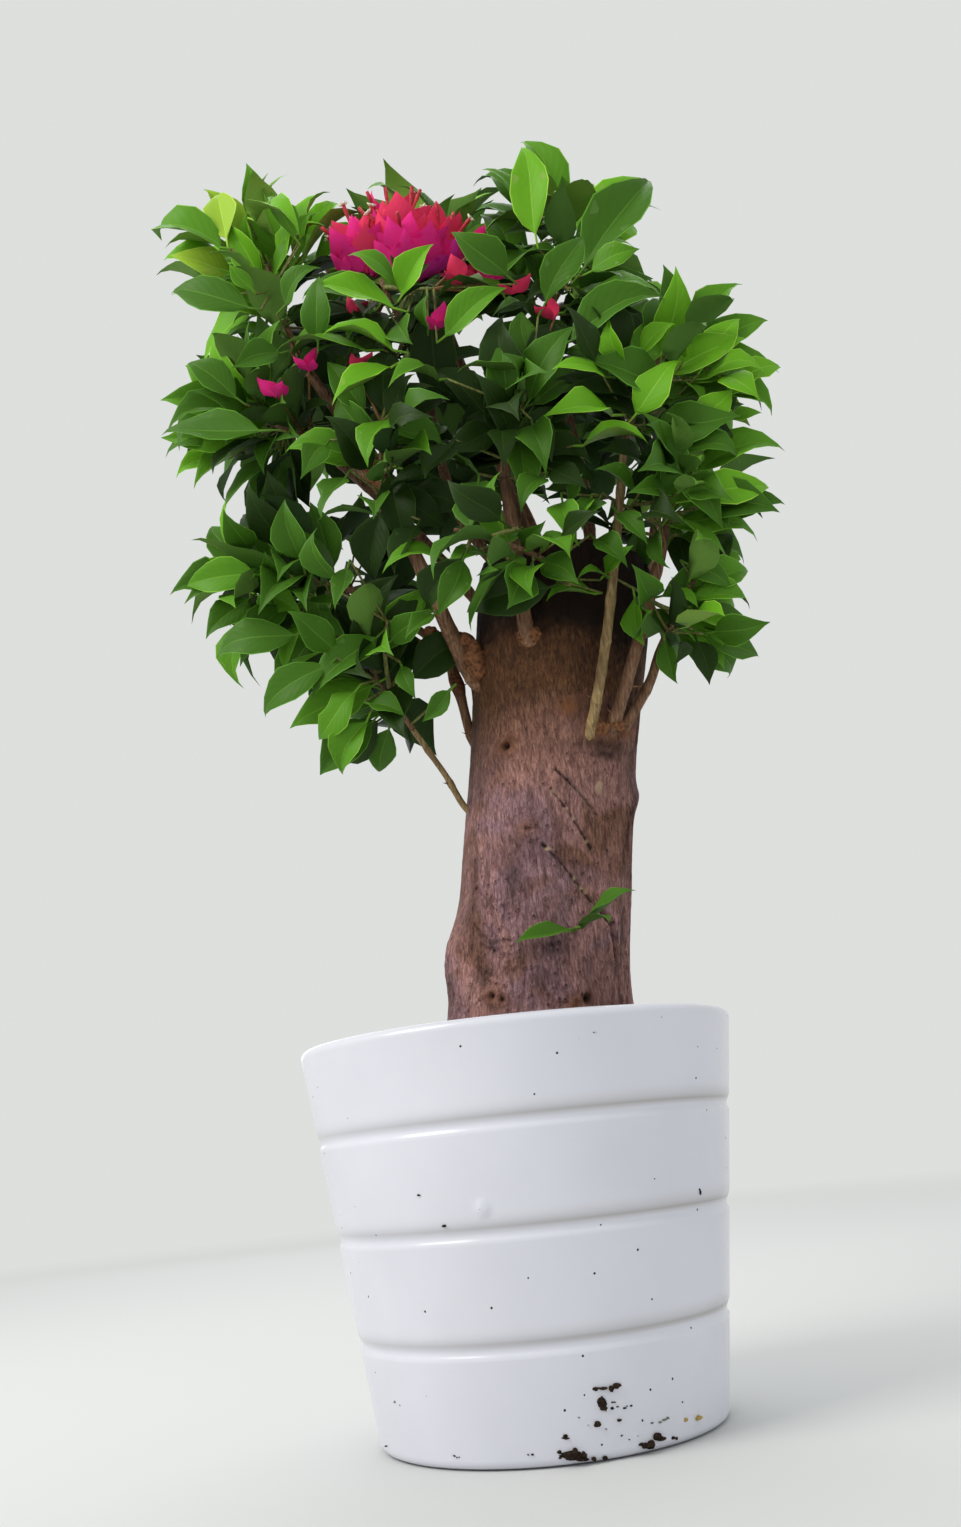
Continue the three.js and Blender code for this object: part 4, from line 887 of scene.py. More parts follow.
def make_pot_crumbs(material):
    """Crumbs, seeds and bits of straw that stick to the glaze low on the front: lumps half sunk in the
    wall's outer face, each group spread by chance about its middle and each lump drawn out by chance."""
    straw = grained("dry_seed_and_straw", "#bfa760", "#94793a", 0.7, 900)
    stick = grained("weathered_stick_grey_green", "#828d78", "#5d6655", 0.8, 900)
    shapes, kinds = [], []
    for index, (turn, rise, wide, high, count, size, kind) in enumerate(STUCK):
        number = np.arange(count)
        swing = [chance(index + 0.5, number, k) + chance(index + 0.5, number, k + 4) - 1 for k in (1, 2)]
        angle = np.radians(turn + wide * swing[0])
        level = np.maximum(rise + high * swing[1], 1.2)
        radius = pot_radius(level) + 0.2
        centre = np.stack([radius * np.cos(angle), radius * np.sin(angle), level], -1)
        sizes = size * (1 if kind else between((0.55, 1.5), chance(index, number, 3))) * np.ones(count)
        drawn = between((0.5, 1.6), chance(index, number[:, None], np.array([5, 6, 7])))
        shapes.append(pebbles(centre, sizes[:, None] * FLAT_LUMP * drawn, 12 + index))
        kinds.append(kind_of_faces(shapes[-1], kind))
    make_piece("pot_crumbs", *join(shapes), [material, straw, stick], [], "soil", kinds=np.concatenate(kinds))


# Trunk
def trunk_x(height):
    """Where the trunk's axis is at a height."""
    return TRUNK_FOOT_X + TRUNK_LEAN * (height - TRUNK_FOOT)


def trunk_top(x):
    """The height of the sloping cut at an x."""
    return TRUNK_TOP + TRUNK_TOP_SLOPE * (x - trunk_x(TRUNK_TOP))


def away(angle, height, facing, level):
    """How far a place on the bark is from a mark, round the trunk and upwards, in millimetres."""
    turn = angle - np.radians(facing)
    return np.arctan2(np.sin(turn), np.cos(turn)) * TRUNK_RADIUS, height - level


def off_mark(angle, height, facing, level, wide=1, high=1):
    """How far a place on the bark is from a mark, in half widths and half heights of the mark."""
    around, above = away(angle, height, facing, level)
    return np.hypot(around / wide, above / high)


def trunk_radius(angle, height):
    """The plain radius: swell under the top, flare at the foot, ribs that wind round it and burrs like
    bells."""
    rise = height - TRUNK_FOOT
    radius = TRUNK_RADIUS + TOP_SWELL["swell"] * smooth(TOP_SWELL["from"], TOP_SWELL["to"], height)
    roots = 1 + FLARE["share"] * np.cos(FLARE["roots"] * angle)
    radius = radius + FLARE["swell"] * np.exp(-rise / FLARE["reach"]) * roots
    for rib in RIBS:
        radius = radius + rib["depth"] * np.cos(rib["waves"] * angle + rib["twist"] * rise)
    for facing, level, swell, spread in BURRS:
        radius = radius + swell * bell(off_mark(angle, height, facing, level) / spread)
    return radius


def bark_relief(angle, height):
    """Relief on the plain radius, and marks for its colours. Upright fibres are noise drawn out upwards. A
    cut is a trench along a line with raised lips, a knot is a ring round a hole, and a hollow is a bell
    pressed in. The dark mark is painted shade in the fissures, the trenches, the knot holes and the hollows,
    and a painted shadow of the crown, near black over the top with a ragged lower edge."""
    round_place = np.stack([TRUNK_RADIUS * np.cos(angle), TRUNK_RADIUS * np.sin(angle), height], -1)
    ragged = wobble(round_place, 2.6, 21)
    relief = layers(round_place, BARK_GRAIN)
    fissured = bell(away(angle, height, FISSURES["facing"], 0)[0] / FISSURES["spread"])
    fissure = fissured * np.maximum(wobble(round_place, FISSURES["cell"], 25) - 0.1, 0)
    relief -= FISSURES["depth"] * fissure
    pale, callus = np.zeros_like(relief), np.zeros_like(relief)
    # Painted shade in the fissures
    dark = 0.6 * smooth(0.1, 0.4, fissure)
    for (from_turn, from_level), (to_turn, to_level), half, deep, lip, beaded in CUTS:
        around, above = away(angle, height, from_turn, from_level)
        run = np.array([np.radians(to_turn - from_turn) * TRUNK_RADIUS, to_level - from_level])
        share = np.clip((around * run[0] + above * run[1]) / (run @ run), 0, 1)
        off = np.abs(np.hypot(around - share * run[0], above - share * run[1]) + 0.5 * ragged)
        trench = bell(off / half)
        relief += lip * bell((off - 2.2 * half) / half) - deep * trench
        beads = smooth(0.0, 0.4, wobble(round_place, 2.2, 26))
        pale = np.maximum(pale, beaded * beads * bell(off / (1.3 * half)))
        # Painted shade in the trench, left off where pale beads lie
        shade = OPEN_CUT if lip < 0.6 or half > 1 else FAINT_CUT
        dark = np.maximum(dark, trench * shade * (1 - beaded * beads))
    for facing, level, ring, hole, depth in KNOTS:
        off = off_mark(angle, height, facing, level) * (1 + 0.12 * ragged)
        relief += 0.9 * bell((off - 0.75 * ring) / (0.4 * ring)) * (1 + 0.6 * ragged)
        relief -= depth * bell(off / hole)
        # Painted shade in the knot's hole
        dark = np.maximum(dark, bell(off / (1.15 * hole)))
        callus = np.maximum(callus, 0.5 * bell(off / ring))
    for *place, depth, shade in HOLLOWS:
        pressed = bell(off_mark(angle, height, *place))
        relief -= depth * pressed
        # Painted shade in the hollow
        dark = np.maximum(dark, shade * pressed * (0.75 + 0.25 * ragged))
    for facing, level, spread in CALLUSES:
        near = bell(off_mark(angle, height, facing, level) / spread)
        relief += near * 0.9 * wobble(round_place, 3, 27)
        callus = np.maximum(callus, near * (0.7 + 0.3 * ragged))
    spot = 1 - smooth(0.7, 1.2, off_mark(angle, height, *PALE_SPOT))
    pale = np.maximum(pale, 0.55 * spot)
    relief += 0.5 * spot
    for *place, swell in BULGES:
        relief += swell * bell(off_mark(angle, height, *place)) * (1 + 0.2 * ragged)
    blotch = wobble(round_place, 14, 28)
    # Painted shadow of the crown over the upper trunk, near black at the top
    dark = np.maximum(dark, 0.5 * smooth(312, 378, height + 6 * ragged + 14 * blotch))
    crown_shadow = smooth(352, 382, height + 5 * ragged + 8 * blotch + 8 * np.cos(angle - np.radians(305)))
    return relief, {"pale": pale, "dark": np.clip(np.maximum(dark, 0.92 * crown_shadow), 0, 1), "callus": callus}


def make_trunk():
    """The side is a grid of angle and height at the radius plus relief. The cut top goes on inwards from the
    rim, dished and broken, and the underside goes inwards flat."""
    angle = turns(TRUNK_COLUMNS)
    angle = angle - FRONT_DENSITY * np.cos(angle)
    share = np.linspace(0, 1, TRUNK_ROWS)[:, None]
    level = between((TRUNK_FOOT, TRUNK_TOP), share)
    turn, level = np.broadcast_arrays(angle[None], level)
    relief, marks = bark_relief(turn, level)
    radius = trunk_radius(turn, level) + relief * smooth(0, 0.01, share)
    x = trunk_x(level) + radius * np.cos(turn)
    rim = smooth(RIM["from"], 1, share)
    uneven = rim * RIM["uneven"] * wobble(np.stack([x, radius * np.sin(turn), 0 * x], -1), RIM["cell"], 31)
    rise = between((TRUNK_FOOT, trunk_top(x)), share) + uneven
    rounded = rim * RIM["round"]
    side = np.stack([x - rounded * np.cos(turn), (radius - rounded) * np.sin(turn), rise], -1)
    inward = np.linspace(*TOP_RINGS)[:, None, None]
    centre = np.array([trunk_x(TRUNK_TOP), 0, 0])
    top = centre + (side[-1] - centre) * np.array([1, 1, 0]) * inward
    dip = TRUNK_HOLLOW * (1 - inward[..., 0]) + TOP_DISH * smooth(1, 0.9, inward[..., 0])
    top[..., 2] = trunk_top(top[..., 0]) - dip + layers(top, TOP_GRAIN)
    foot = np.array([TRUNK_FOOT_X, 0, TRUNK_FOOT])
    bottom = foot + (side[0] - foot) * np.linspace(0.1, 0.9, 5)[:, None, None]
    places = np.concatenate([bottom, side, top])
    faces = shell_faces(1, len(places), TRUNK_COLUMNS)
    poles = np.array([foot, [*centre[:2], trunk_top(centre[0]) - TRUNK_HOLLOW - TOP_DISH]])
    full = {}
    for name, values in marks.items():
        # The cut top under the crown gets 0.8 of the dark mark, a painted shadow
        over = 0.8 if name == "dark" else 0
        ends = [np.zeros(bottom.shape[:2]), values, np.full(top.shape[:2], over)]
        full[name] = np.concatenate([np.concatenate(ends).ravel(), [0, over]])
    places = np.concatenate([places.reshape(-1, 3), poles])
    make_piece("trunk_bark", places, faces, [old_bark()], ["trunk"], "trunk_bark", marks=full)


def on_trunk(facing, height, inside=0):
    """The point on the trunk's plain surface, or some way inside it."""
    angle = np.radians(facing)
    radius = trunk_radius(angle, height) - inside
    return np.array([trunk_x(height) + radius * np.cos(angle), radius * np.sin(angle), height])


# Limbs
def through(points, shares):
    """A smooth curve through points: on each stretch a cubic whose slope at a point is half the step between
    its neighbours. At the ends the missing neighbour is the mirror of the next one."""
    points = np.asarray(points, float)
    points = np.concatenate([[2 * points[0] - points[1]], points, [2 * points[-1] - points[-2]]])
    last = len(points) - 4
    at = np.asarray(shares, float) * (last + 1)
    start = np.minimum(np.floor(at).astype(int), last)
    w = (at - start)[:, None]
    a, b, c, d = (points[start + k] for k in range(4))
    from_slope, to_slope = 0.5 * (c - a), 0.5 * (d - b)
    return (b + from_slope * w + (3 * (c - b) - 2 * from_slope - to_slope) * w ** 2
            + (2 * (b - c) + from_slope + to_slope) * w ** 3)


def lay_out_limbs():
    """The points and radii of every bough, and whether it grows from the side of the trunk."""
    limbs = {}
    for name, (facing, height, way, radii) in BOUGHS.items():
        root = [on_trunk(facing, height, ROOT_DEPTH), on_trunk(facing, height)]
        limbs[name] = {"points": [*root, *way], "radii": radii, "swell": COLLAR["swell"]}
    for name, (facing, share, way, radii) in TOP_BOUGHS.items():
        edge = on_trunk(facing, TRUNK_TOP)
        x, y = between((trunk_x(TRUNK_TOP), edge[0]), share), edge[1] * share
        depth = TRUNK_HOLLOW + ROOT_DEPTH
        root = np.array([x, y, trunk_top(x) - depth])
        limbs[name] = {"points": [root, root + depth * UP, *way], "radii": radii, "swell": 0}
    for name, (parent, share, way, radii) in FORKS.items():
        start = through(limbs[parent]["points"], [share])[0]
        limbs[name] = {"points": [start, *way], "radii": radii, "swell": 0}
    return limbs


def limb_radius(limb, shares):
    """The radius falls with the root of the share, and swells in a bell at the collar."""
    shares = np.asarray(shares, float)
    collar = 1 + limb["swell"] * bell(shares / COLLAR["reach"])
    return between(limb["radii"], np.sqrt(shares)) * collar


def limb_length(limb, steps):
    """The length of a bough, summed over steps along its curve."""
    return norm(np.diff(through(limb["points"], np.linspace(0, 1, steps)), axis=0)).sum()


def spheres_along(points, radii):
    """Balls along a line, which leaves and twigs keep clear of, as rows of a middle and a radius."""
    return np.concatenate([points, np.reshape(radii, (-1, 1))], -1)


LIMBS = lay_out_limbs()


def limb_spheres():
    """The balls of all the boughs, about a sphere step apart."""
    rows = []
    for limb in LIMBS.values():
        shares = np.linspace(0, 1, int(np.ceil(limb_length(limb, 60) / SPHERE_STEP)) + 1)
        rows.append(spheres_along(through(limb["points"], shares), limb_radius(limb, shares)))
    return np.concatenate(rows)


LIMB_SPHERES = limb_spheres()


def make_boughs(materials):
    """Each bough is a tube with fibres along it, a swollen ring at each leaf scar, and a rough cuff where it
    leaves the trunk, marked for its colour. Burrs are bells on the radius, and knobs are uneven balls.
    Thorns stand at some scars."""
    shapes, thorns, kinds, cuffs = [], [], [], []
    angle = turns(BOUGH_SIDES)
    for index, (name, limb) in enumerate(LIMBS.items()):
        length = limb_length(limb, 80)
        steps = int(length / BOUGH_STEP)
        shares = np.linspace(0, 1, steps)
        path = through(limb["points"], shares)
        run = shares * length
        scars = np.cumsum(between(SCAR_SPACING, chance(index + 3, np.arange(40), 1)))
        scars = scars[scars < length - 4]
        ringed = SCAR_RING["swell"] * bell((run[:, None] - scars) / SCAR_RING["spread"]).sum(-1)
        size, reach = CUFFS.get(name, (1.2, 4))
        near = bell((run - ROOT_DEPTH - 1.5) / reach) * (limb["swell"] > 0)
        for at, swell, spread_out in BOUGH_BURRS.get(name, ()):
            near = np.maximum(near, swell / size * bell((shares - at) * length / spread_out))
        ring = np.cos(angle) * 6 + index * 40, np.sin(angle) * 6
        place = np.stack(np.broadcast_arrays(*ring, run[:, None]), -1)
        relief = layers(place, BOUGH_GRAIN)
        rough = layers(place, CUFF_GRAIN)
        radii = limb_radius(limb, shares)[:, None] + ringed[:, None] * (1 + relief) + relief
        shapes.append(tubes(path[None], (radii + size * near[:, None] * (1 + rough))[None], BOUGH_SIDES))
        cuffs.append(np.concatenate([np.repeat(near, BOUGH_SIDES), [near[0], near[-1]]]))
        kinds.append(kind_of_faces(shapes[-1], int(name in TAN_BOUGHS)))
        for number, scar in enumerate(scars[scars > ROOT_DEPTH + 6]):
            if chance(index, number, 8) > THORNS["share"]:
                continue
            at = np.searchsorted(run, scar)
            along = unit(path[min(at + 1, steps - 1)] - path[at - 1])
            side = unit(np.cross(along, unit(np.array([np.cos(2.4 * number), np.sin(2.4 * number), 0.3]))))
            radius = radii[at].mean()
            length_out = radius + between(THORNS["length"], chance(index, number, 9))
            tip = path[at] + side * length_out + along * THORNS["lean"]
            thorns.append((path[at] + side * radius * 0.6, tip))
    ends = np.array(thorns)
    spikes = between((ends[:, :1], ends[:, 1:]), np.linspace(0, 1, 4)[None, :, None])
    spikes = tubes(spikes, np.tile(THORNS["radii"], (len(ends), 1)), 5)
    knobs = [np.array(part, float) for part in zip(*KNOBS)]
    knobs = pebbles(*knobs, 45, 18, np.linspace(-80, 80, 13), 0.34)
    for cuff, shape in enumerate((spikes, knobs)):
        shapes.append(shape)
        kinds.append(kind_of_faces(shape, 0))
        cuffs.append(np.full(len(shape[0]), cuff))
    marks = {"callus": np.clip(np.concatenate(cuffs), 0, 1)}
    make_piece("boughs_bark", *join(shapes), materials, list(LIMBS), "bough_bark",
               kinds=np.concatenate(kinds), marks=marks)


# Spaces: a mass keeps to its own side of the plane between it and each neighbour, and to its own reach
SPACES = {name: (np.array(centre, float), np.array(reach, float))
          for name, (_, centre, reach, *_) in {**MASSES, "bloom": BLOOM}.items()}


def lay_out_space(name):
    """A space's middle and reach, the middles and sizes of its neighbours, and the limbs' balls near it."""
    centre, reach = SPACES[name]
    others = [space for other, space in SPACES.items() if other != name]
    middles = np.array([middle for middle, _ in others])
    sizes = np.array([girth.mean() for _, girth in others])
    close = norm(LIMB_SPHERES[:, :3] - centre) < 1.35 * reach.max() + 20
    return {"centre": centre, "reach": reach, "middles": middles, "sizes": sizes,
            "gaps": norm(middles - centre), "limbs": LIMB_SPHERES[close]}


def inside_space(space, points, stretch, margin=CELL_MARGIN):
    """Whether each point is within the stretched reach, and by a margin nearer in power to its own middle
    than to the others."""
    within = norm((points - space["centre"]) / space["reach"]) <= stretch
    own = ((points - space["centre"]) ** 2).sum(-1) - space["reach"].mean() ** 2
    power = ((points[:, None] - space["middles"]) ** 2).sum(-1) - space["sizes"] ** 2
    return within & ((power - own[:, None]) / (2 * space["gaps"]) > margin).all(-1)


def clear_of_limbs(space, points, margin):
    """Whether each point keeps the margin from the trunk and the boughs."""
    level = np.minimum(points[:, 2], TRUNK_TOP)
    off = points[:, 0] - trunk_x(level)
    angle = np.arctan2(points[:, 1], off)
    below = points[:, 2] < trunk_top(points[:, 0]) + margin
    inside = below & (np.hypot(points[:, 1], off) < TRUNK_WIDEST + margin)
    if inside.any():
        inside &= np.hypot(points[:, 1], off) < trunk_radius(angle, level) + margin
    distance = norm(points[:, None] - space["limbs"][None, :, :3])
    return ~inside & (distance > space["limbs"][:, 3] + margin).all(-1)


SIGHT_ENDS, SIGHT_RADII, SIGHT_PAST = (np.array(part, float) for part in zip(*OPENINGS))


def shuts_opening(points):
    """Whether any point lies within the radius of a line of sight that stays open, before the line ends."""
    way = unit(SIGHT_ENDS - EYE)
    offset = points[:, None] - EYE
    along = (offset * way).sum(-1)
    distance = norm(offset - along[..., None] * way)
    before = along < norm(SIGHT_ENDS - EYE) + SIGHT_PAST
    return bool((before & (distance < SIGHT_RADII)).any())


def make_leaf(root, along, facing, length):
    """A leaf's root, its way, its face square to that, the way across, and its length with the stalk."""
    face = unit(facing - facing @ along * along)
    return {"root": root, "along": along, "face": face, "across": np.cross(along, face), "length": length}


def leaf_to(root, tip, facing):
    """A leaf from its root to its tip."""
    return make_leaf(root, unit(tip - root), facing, norm(tip - root))


def leaf_points(leaf, shares, sides):
    """Points on the leaf's plain outline: it widens evenly to its widest share and narrows to the tip."""
    shares, sides = np.asarray(shares, float), np.asarray(sides, float)
    width = np.where(shares < LEAF_WIDEST, shares / LEAF_WIDEST, (1 - shares) / (1 - LEAF_WIDEST))
    long, side, lift = (value[:, None] * leaf["length"] for value in (
        shares, sides * width * LEAF_WIDTH / 2, np.abs(sides) * width * LEAF_FOLD))
    return leaf["root"] + long * leaf["along"] + side * leaf["across"] + lift * leaf["face"]


TEST_SHARES, TEST_SIDES = (grid.ravel() for grid in np.meshgrid(
    [0.2, 0.36, 0.52, 0.68, 0.84, 1], [-1, -0.5, 0, 0.5, 1], indexing="ij"))
CORNER_SHARES, CORNER_SIDES = np.array([0, LEAF_WIDEST, 1, LEAF_WIDEST]), np.array([0, 1, 0, -1])


def pierces(starts, ends, triangles):
    """Whether edges pass through triangles: the crossing's share of the edge and of both sides is inside."""
    way = ends - starts
    one, two = triangles[..., 1, :] - triangles[..., 0, :], triangles[..., 2, :] - triangles[..., 0, :]
    cross = np.cross(way, two)
    slope = (one * cross).sum(-1)
    slope = np.where(np.abs(slope) < 1e-9, 1e-9, slope)
    offset = starts - triangles[..., 0, :]
    u = (offset * cross).sum(-1) / slope
    turned = np.cross(offset, one)
    v = (way * turned).sum(-1) / slope
    share = (two * turned).sum(-1) / slope
    return (u > 0) & (v > 0) & (u + v < 1) & (share > 0) & (share < 1)


EDGES = np.array([[0, 1], [1, 2], [2, 3], [3, 0], [0, 2]])
HALVES = np.array([[0, 1, 2], [0, 2, 3]])


def crosses(corners, others):
    """Whether a leaf of four corners crosses any other leaf, by their edges and halves."""
    edges, halves = corners[EDGES], corners[HALVES]
    their_edges, their_halves = others[:, EDGES], others[:, HALVES]
    over = pierces(edges[:, None, 0], edges[:, None, 1], their_halves[:, None])
    under = pierces(their_edges[:, :, None, 0], their_edges[:, :, None, 1], halves)
    return bool(over.any() or under.any())


def has_room(space, leaf, stretch, crown):
    """Whether a leaf is inside its space, shuts no opening, and is clear of limbs, twigs and other
    leaves."""
    corners = leaf_points(leaf, CORNER_SHARES, CORNER_SIDES)
    if not inside_space(space, corners[1:], stretch, LEAN_OVER).all():
        return False
    middle = leaf["root"] + LEAF_MIDDLE * leaf["length"] * leaf["along"]
    outlines = crown["outlines"]
    middles = (1 - LEAF_MIDDLE) * outlines[:, 0] + LEAF_MIDDLE * outlines[:, 2]
    apart = norm(middles - middle)
    if (apart < LEAF_SPACING).any():
        return False
    points = leaf_points(leaf, TEST_SHARES, TEST_SIDES)
    if shuts_opening(points) or not clear_of_limbs(space, points, LIMB_MARGIN).all():
        return False
    blade = points[TEST_SHARES > STALK]
    balls = crown["twigs"][norm(crown["twigs"][:, :3] - middle) < NEAR]
    distance = norm(blade[:, None] - balls[None, :, :3])
    if (distance < balls[:, 3] + OWN_TWIG_MARGIN).any():
        return False
    return not crosses(corners, outlines[apart < NEAR])


def settle(crown, leaf, age, seed, tint=None):
    """Adds a leaf to the crown, with its outline for the leaves that come later."""
    crown["leaves"].append({**leaf, "age": age, "seed": seed + 0.37 * len(crown["leaves"]), "tint": tint})
    corners = leaf_points(leaf, CORNER_SHARES, CORNER_SIDES)
    crown["outlines"] = np.concatenate([crown["outlines"], corners[None]])


def stem_of(root_of, centre, reach):
    """The stem of a mass: a curve on from its bough's tip, or from the trunk, and past the middle."""
    centre = np.array(centre, float)
    if isinstance(root_of, str):
        limb = LIMBS[root_of]
        start, before = through(limb["points"], [1, 0.9999])
        along, radius, step = unit(start - before), limb_radius(limb, 1), GAP
    else:
        start, inside = on_trunk(*root_of), on_trunk(*root_of, 1)
        along, radius, step = start - inside, TRUNK_STEM["radius"], -TRUNK_STEM["sink"]
    root = start + step * along
    bend = root + STEM_BEND * norm(centre - root) * along
    end = centre + STEM_REACH * reach[0] * unit(centre - root)
    return {"points": (root, bend, end), "radii": (float(radius), STEM_TAPER * float(radius))}


def along_stem(stem, shares):
    """Points on the stem: two straight blends of its three points, blended again."""
    share = np.asarray(shares)[:, None]
    root, bend, end = stem["points"]
    return between((between((root, bend), share), between((bend, end), share)), share)


def spread(number, count, turn):
    """The direction with this number of a count spread evenly over a ball: even heights, golden turns."""
    return on_ball(1 - (2 * number + 1) / count, GOLDEN_ANGLE * number + turn)


def leaf_facing(root, seed, number):
    """The way a leaf faces: to the light of its side of the crown, or for some to the sky, outwards from the
    crown's middle, and a little by chance."""
    light = SKYLIGHT if chance(seed, number, 8) < SKYLIT else LIGHT if root[1] < BACK_FROM else BACK_LIGHT
    return light + OUTWARD * unit(root - CROWN_MIDDLE) + STRAY * strays(seed, number, (5, 6, 7))


def twig_fits(space, start, end):
    """Whether a straight twig stays in the mass's space and clear of the limbs."""
    points = between((start, end), np.array([0.4, 0.7, 1])[:, None])
    return (inside_space(space, points, STRETCH["twig"]).all()
            and clear_of_limbs(space, points, TWIG_MARGIN).all())


def shoots_of(space, mass, stem):
    """The shoots of a mass: to the leading leaves and evenly all round, leaving the stem one after another,
    the ones that point back first."""
    _, centre, reach, seed, count, leaders = mass
    centre, reach = np.array(centre, float), np.array(reach, float)
    chord = unit(stem["points"][2] - stem["points"][0])
    turn = 2 * np.pi * chance(seed, 0, 3)
    even = count - len(leaders)
    plans = [(np.array(leader) - centre, LEAF_LENGTH * LEADER_LEAF, (1,)) for leader in leaders]
    plans += [(spread(i, even, turn) * reach, LEAF_LENGTH * between(SHOOT_LEAF, chance(seed, i, 4)),
               SHOOT_PULLS) for i in range(even)]
    plans.sort(key=lambda plan: unit(plan[0]) @ chord)
    shoots = []
    for order, (round_way, length, pulls) in enumerate(plans):
        at = STEM_BARE + (1 - STEM_BARE) * (order + 0.5) / len(plans)
        knee = min(int(at * STEM_STEPS), STEM_STEPS - 1)
        low, high = along_stem(stem, [knee / STEM_STEPS, (knee + 1) / STEM_STEPS])
        start = between((low, high), at * STEM_STEPS - knee)
        for pull in pulls:
            tip = centre + pull * round_way
            way = unit(tip - start)
            end = tip - way * length
            if twig_fits(space, start, end):
                shoots.append({"start": start, "end": end, "tip": tip, "way": way, "leads": len(pulls) == 1})
                break
    return shoots


def bent(start, end, seed, number, share):
    """A point on a twig that bows a little to one side: the straight point and a shallow arch across it."""
    share = np.asarray(share, float)[:, None]
    side = np.cross(end - start, unit(strays(seed, number, (11, 12, 13))))
    return between((start, end), share) + TWIG_BEND * 4 * share * (1 - share) * side


def leaf_goal(centre, reach, seed, number):
    """The place that this leaf of a mass reaches for, of places that fill its space evenly."""
    part = [(chance(seed, 1, step) + (number + 1) / PLASTIC ** step) % 1 for step in (1, 2, 3)]
    way = on_ball(1 - 2 * part[0], 2 * np.pi * part[1])
    return way * reach * between(GOAL_SHARES, np.sqrt(part[2]))


def grow(name, mass, crown):
    """The growth of a mass by its seed: a leaf at the end of each shoot, then leaves to the goals, each from
    the free place on the twigs that suits it best, by a finer twig where a stalk is too short, with side
    leaves on that."""
    root_of, _, _, seed, *_ = mass
    space = lay_out_space(name)
    centre, reach = space["centre"], space["reach"]
    stem = stem_of(root_of, centre, reach)
    shoots = shoots_of(space, mass, stem)
    lines = [bent(s["start"], s["end"], seed, n, SHOOT_POINTS) for n, s in enumerate(shoots)]
    stem_line = along_stem(stem, STEM_POINTS)
    crown["twigs"] = np.concatenate(
        [crown["twigs"], spheres_along(stem_line, np.full(len(STEM_POINTS), stem["radii"][1]))]
        + [spheres_along(line, between(TWIG_RADII, SHOOT_POINTS)) for line in lines])
    twigs = []
    for order, (shoot, line) in enumerate(zip(shoots, lines)):
        end = bent(shoot["start"], shoot["end"], seed, order, [SHOOT_END])[0]
        leaf = leaf_to(end, shoot["tip"], leaf_facing(end, seed, -order))
        if has_room(space, leaf, STRETCH["leader"] if shoot["leads"] else STRETCH["leaf"], crown):
            settle(crown, leaf, 0, seed)
    roots = [bent(s["start"], s["end"], seed, n, NODE_SHARES) for n, s in enumerate(shoots)]
    roots = np.concatenate([*roots, along_stem(stem, STEM_NODES)])
    ways = [np.tile(shoot["way"], (len(NODE_SHARES), 1)) for shoot in shoots]
    ways = np.concatenate([*ways, unit(along_stem(stem, STEM_NODES) - along_stem(stem, STEM_NODES - 0.02))])
    taken = np.zeros(len(roots), int)
    for number in range(1, GOALS + 1):
        goal = leaf_goal(centre, reach, seed, number)
        wished = LEAF_LENGTH * between(LEAF_WISHED, chance(seed, number, 1))
        wished *= between((1, LATE_LEAF), number / GOALS)
        found = False
        for pull in GOAL_PULLS:
            place = centre + goal * pull
            if found or not inside_space(space, place[None], STRETCH["twig"])[0]:
                continue
            offset = place - roots
            distance = norm(offset)
            way = offset / distance[:, None]
            short = distance - LEAF_MIDDLE * wished
            backwards = np.maximum(0, BACKWARDS_FROM - (way * ways).sum(-1))
            miss = np.where(short > 0, COSTS["far"] * short, COSTS["near"] * short)
            miss = miss + COSTS["backwards"] * backwards + COSTS["taken"] * taken
            miss = np.where((taken < NODE_LEAVES) & (short < FINE_TWIG[1]), miss, np.inf)
            for at in np.argsort(miss)[:LEAF_TRIES]:
                root, on = roots[at], way[at]
                if miss[at] == np.inf:
                    break
                far = short[at] > FINE_TWIG[0]
                end = root + short[at] * on if far else root
                if far and not twig_fits(space, root, end):
                    continue
                near_length = np.clip(distance[at] / LEAF_MIDDLE / LEAF_LENGTH, *LEAF_HELD)
                held = wished if far else LEAF_LENGTH * near_length
                lifted = unit(on + TWIG_LIFT * UP * (chance(seed, number, 14) - 0.2)) if far else on
                leaf = make_leaf(end, lifted, leaf_facing(place, seed, number), held)
                found = has_room(space, leaf, STRETCH["leaf"], crown)
                if not found:
                    continue
                settle(crown, leaf, 2 - far, seed)
                taken[at] += 1
                if far:
                    twigs.append((root, end))
                    sideways = unit(np.cross(on, leaf_facing(place, seed, number)))
                    for side, share in MATES:
                        size = wished * between(MATE_LEAF, chance(seed, number, 15 + side))
                        facing = leaf_facing(place, seed, number + 100 * side)
                        turned = unit(MATE_LEAN * on + side * sideways)
                        mate = make_leaf(between((root, end), share), turned, facing, size)
                        if has_room(space, mate, STRETCH["leaf"], crown):
                            settle(crown, mate, 2, seed)
                break
    return {"stem": (stem_line, stem["radii"]), "lines": lines, "twigs": twigs}


def seen_from_eye(spot, share):
    """The point on the line of sight through a pixel of the photograph that lies on the crown's front, a
    half ball drawn in by a share."""
    way = FORWARD + (RIGHT * (spot[0] - PHOTO[0] / 2) - ABOVE * (spot[1] - PHOTO[1] / 2)) / FOCAL_PIXELS
    point = EYE - way * EYE[1] / way[1]
    for _ in range(4):
        off = ((point[[0, 2]] - FRONT["middle"]) / FRONT["reach"]) ** 2
        depth = -FRONT["depth"] * share * np.sqrt(max(0.04, 1 - off.sum()))
        point = EYE + way * (depth - EYE[1]) / way[1]
    return point


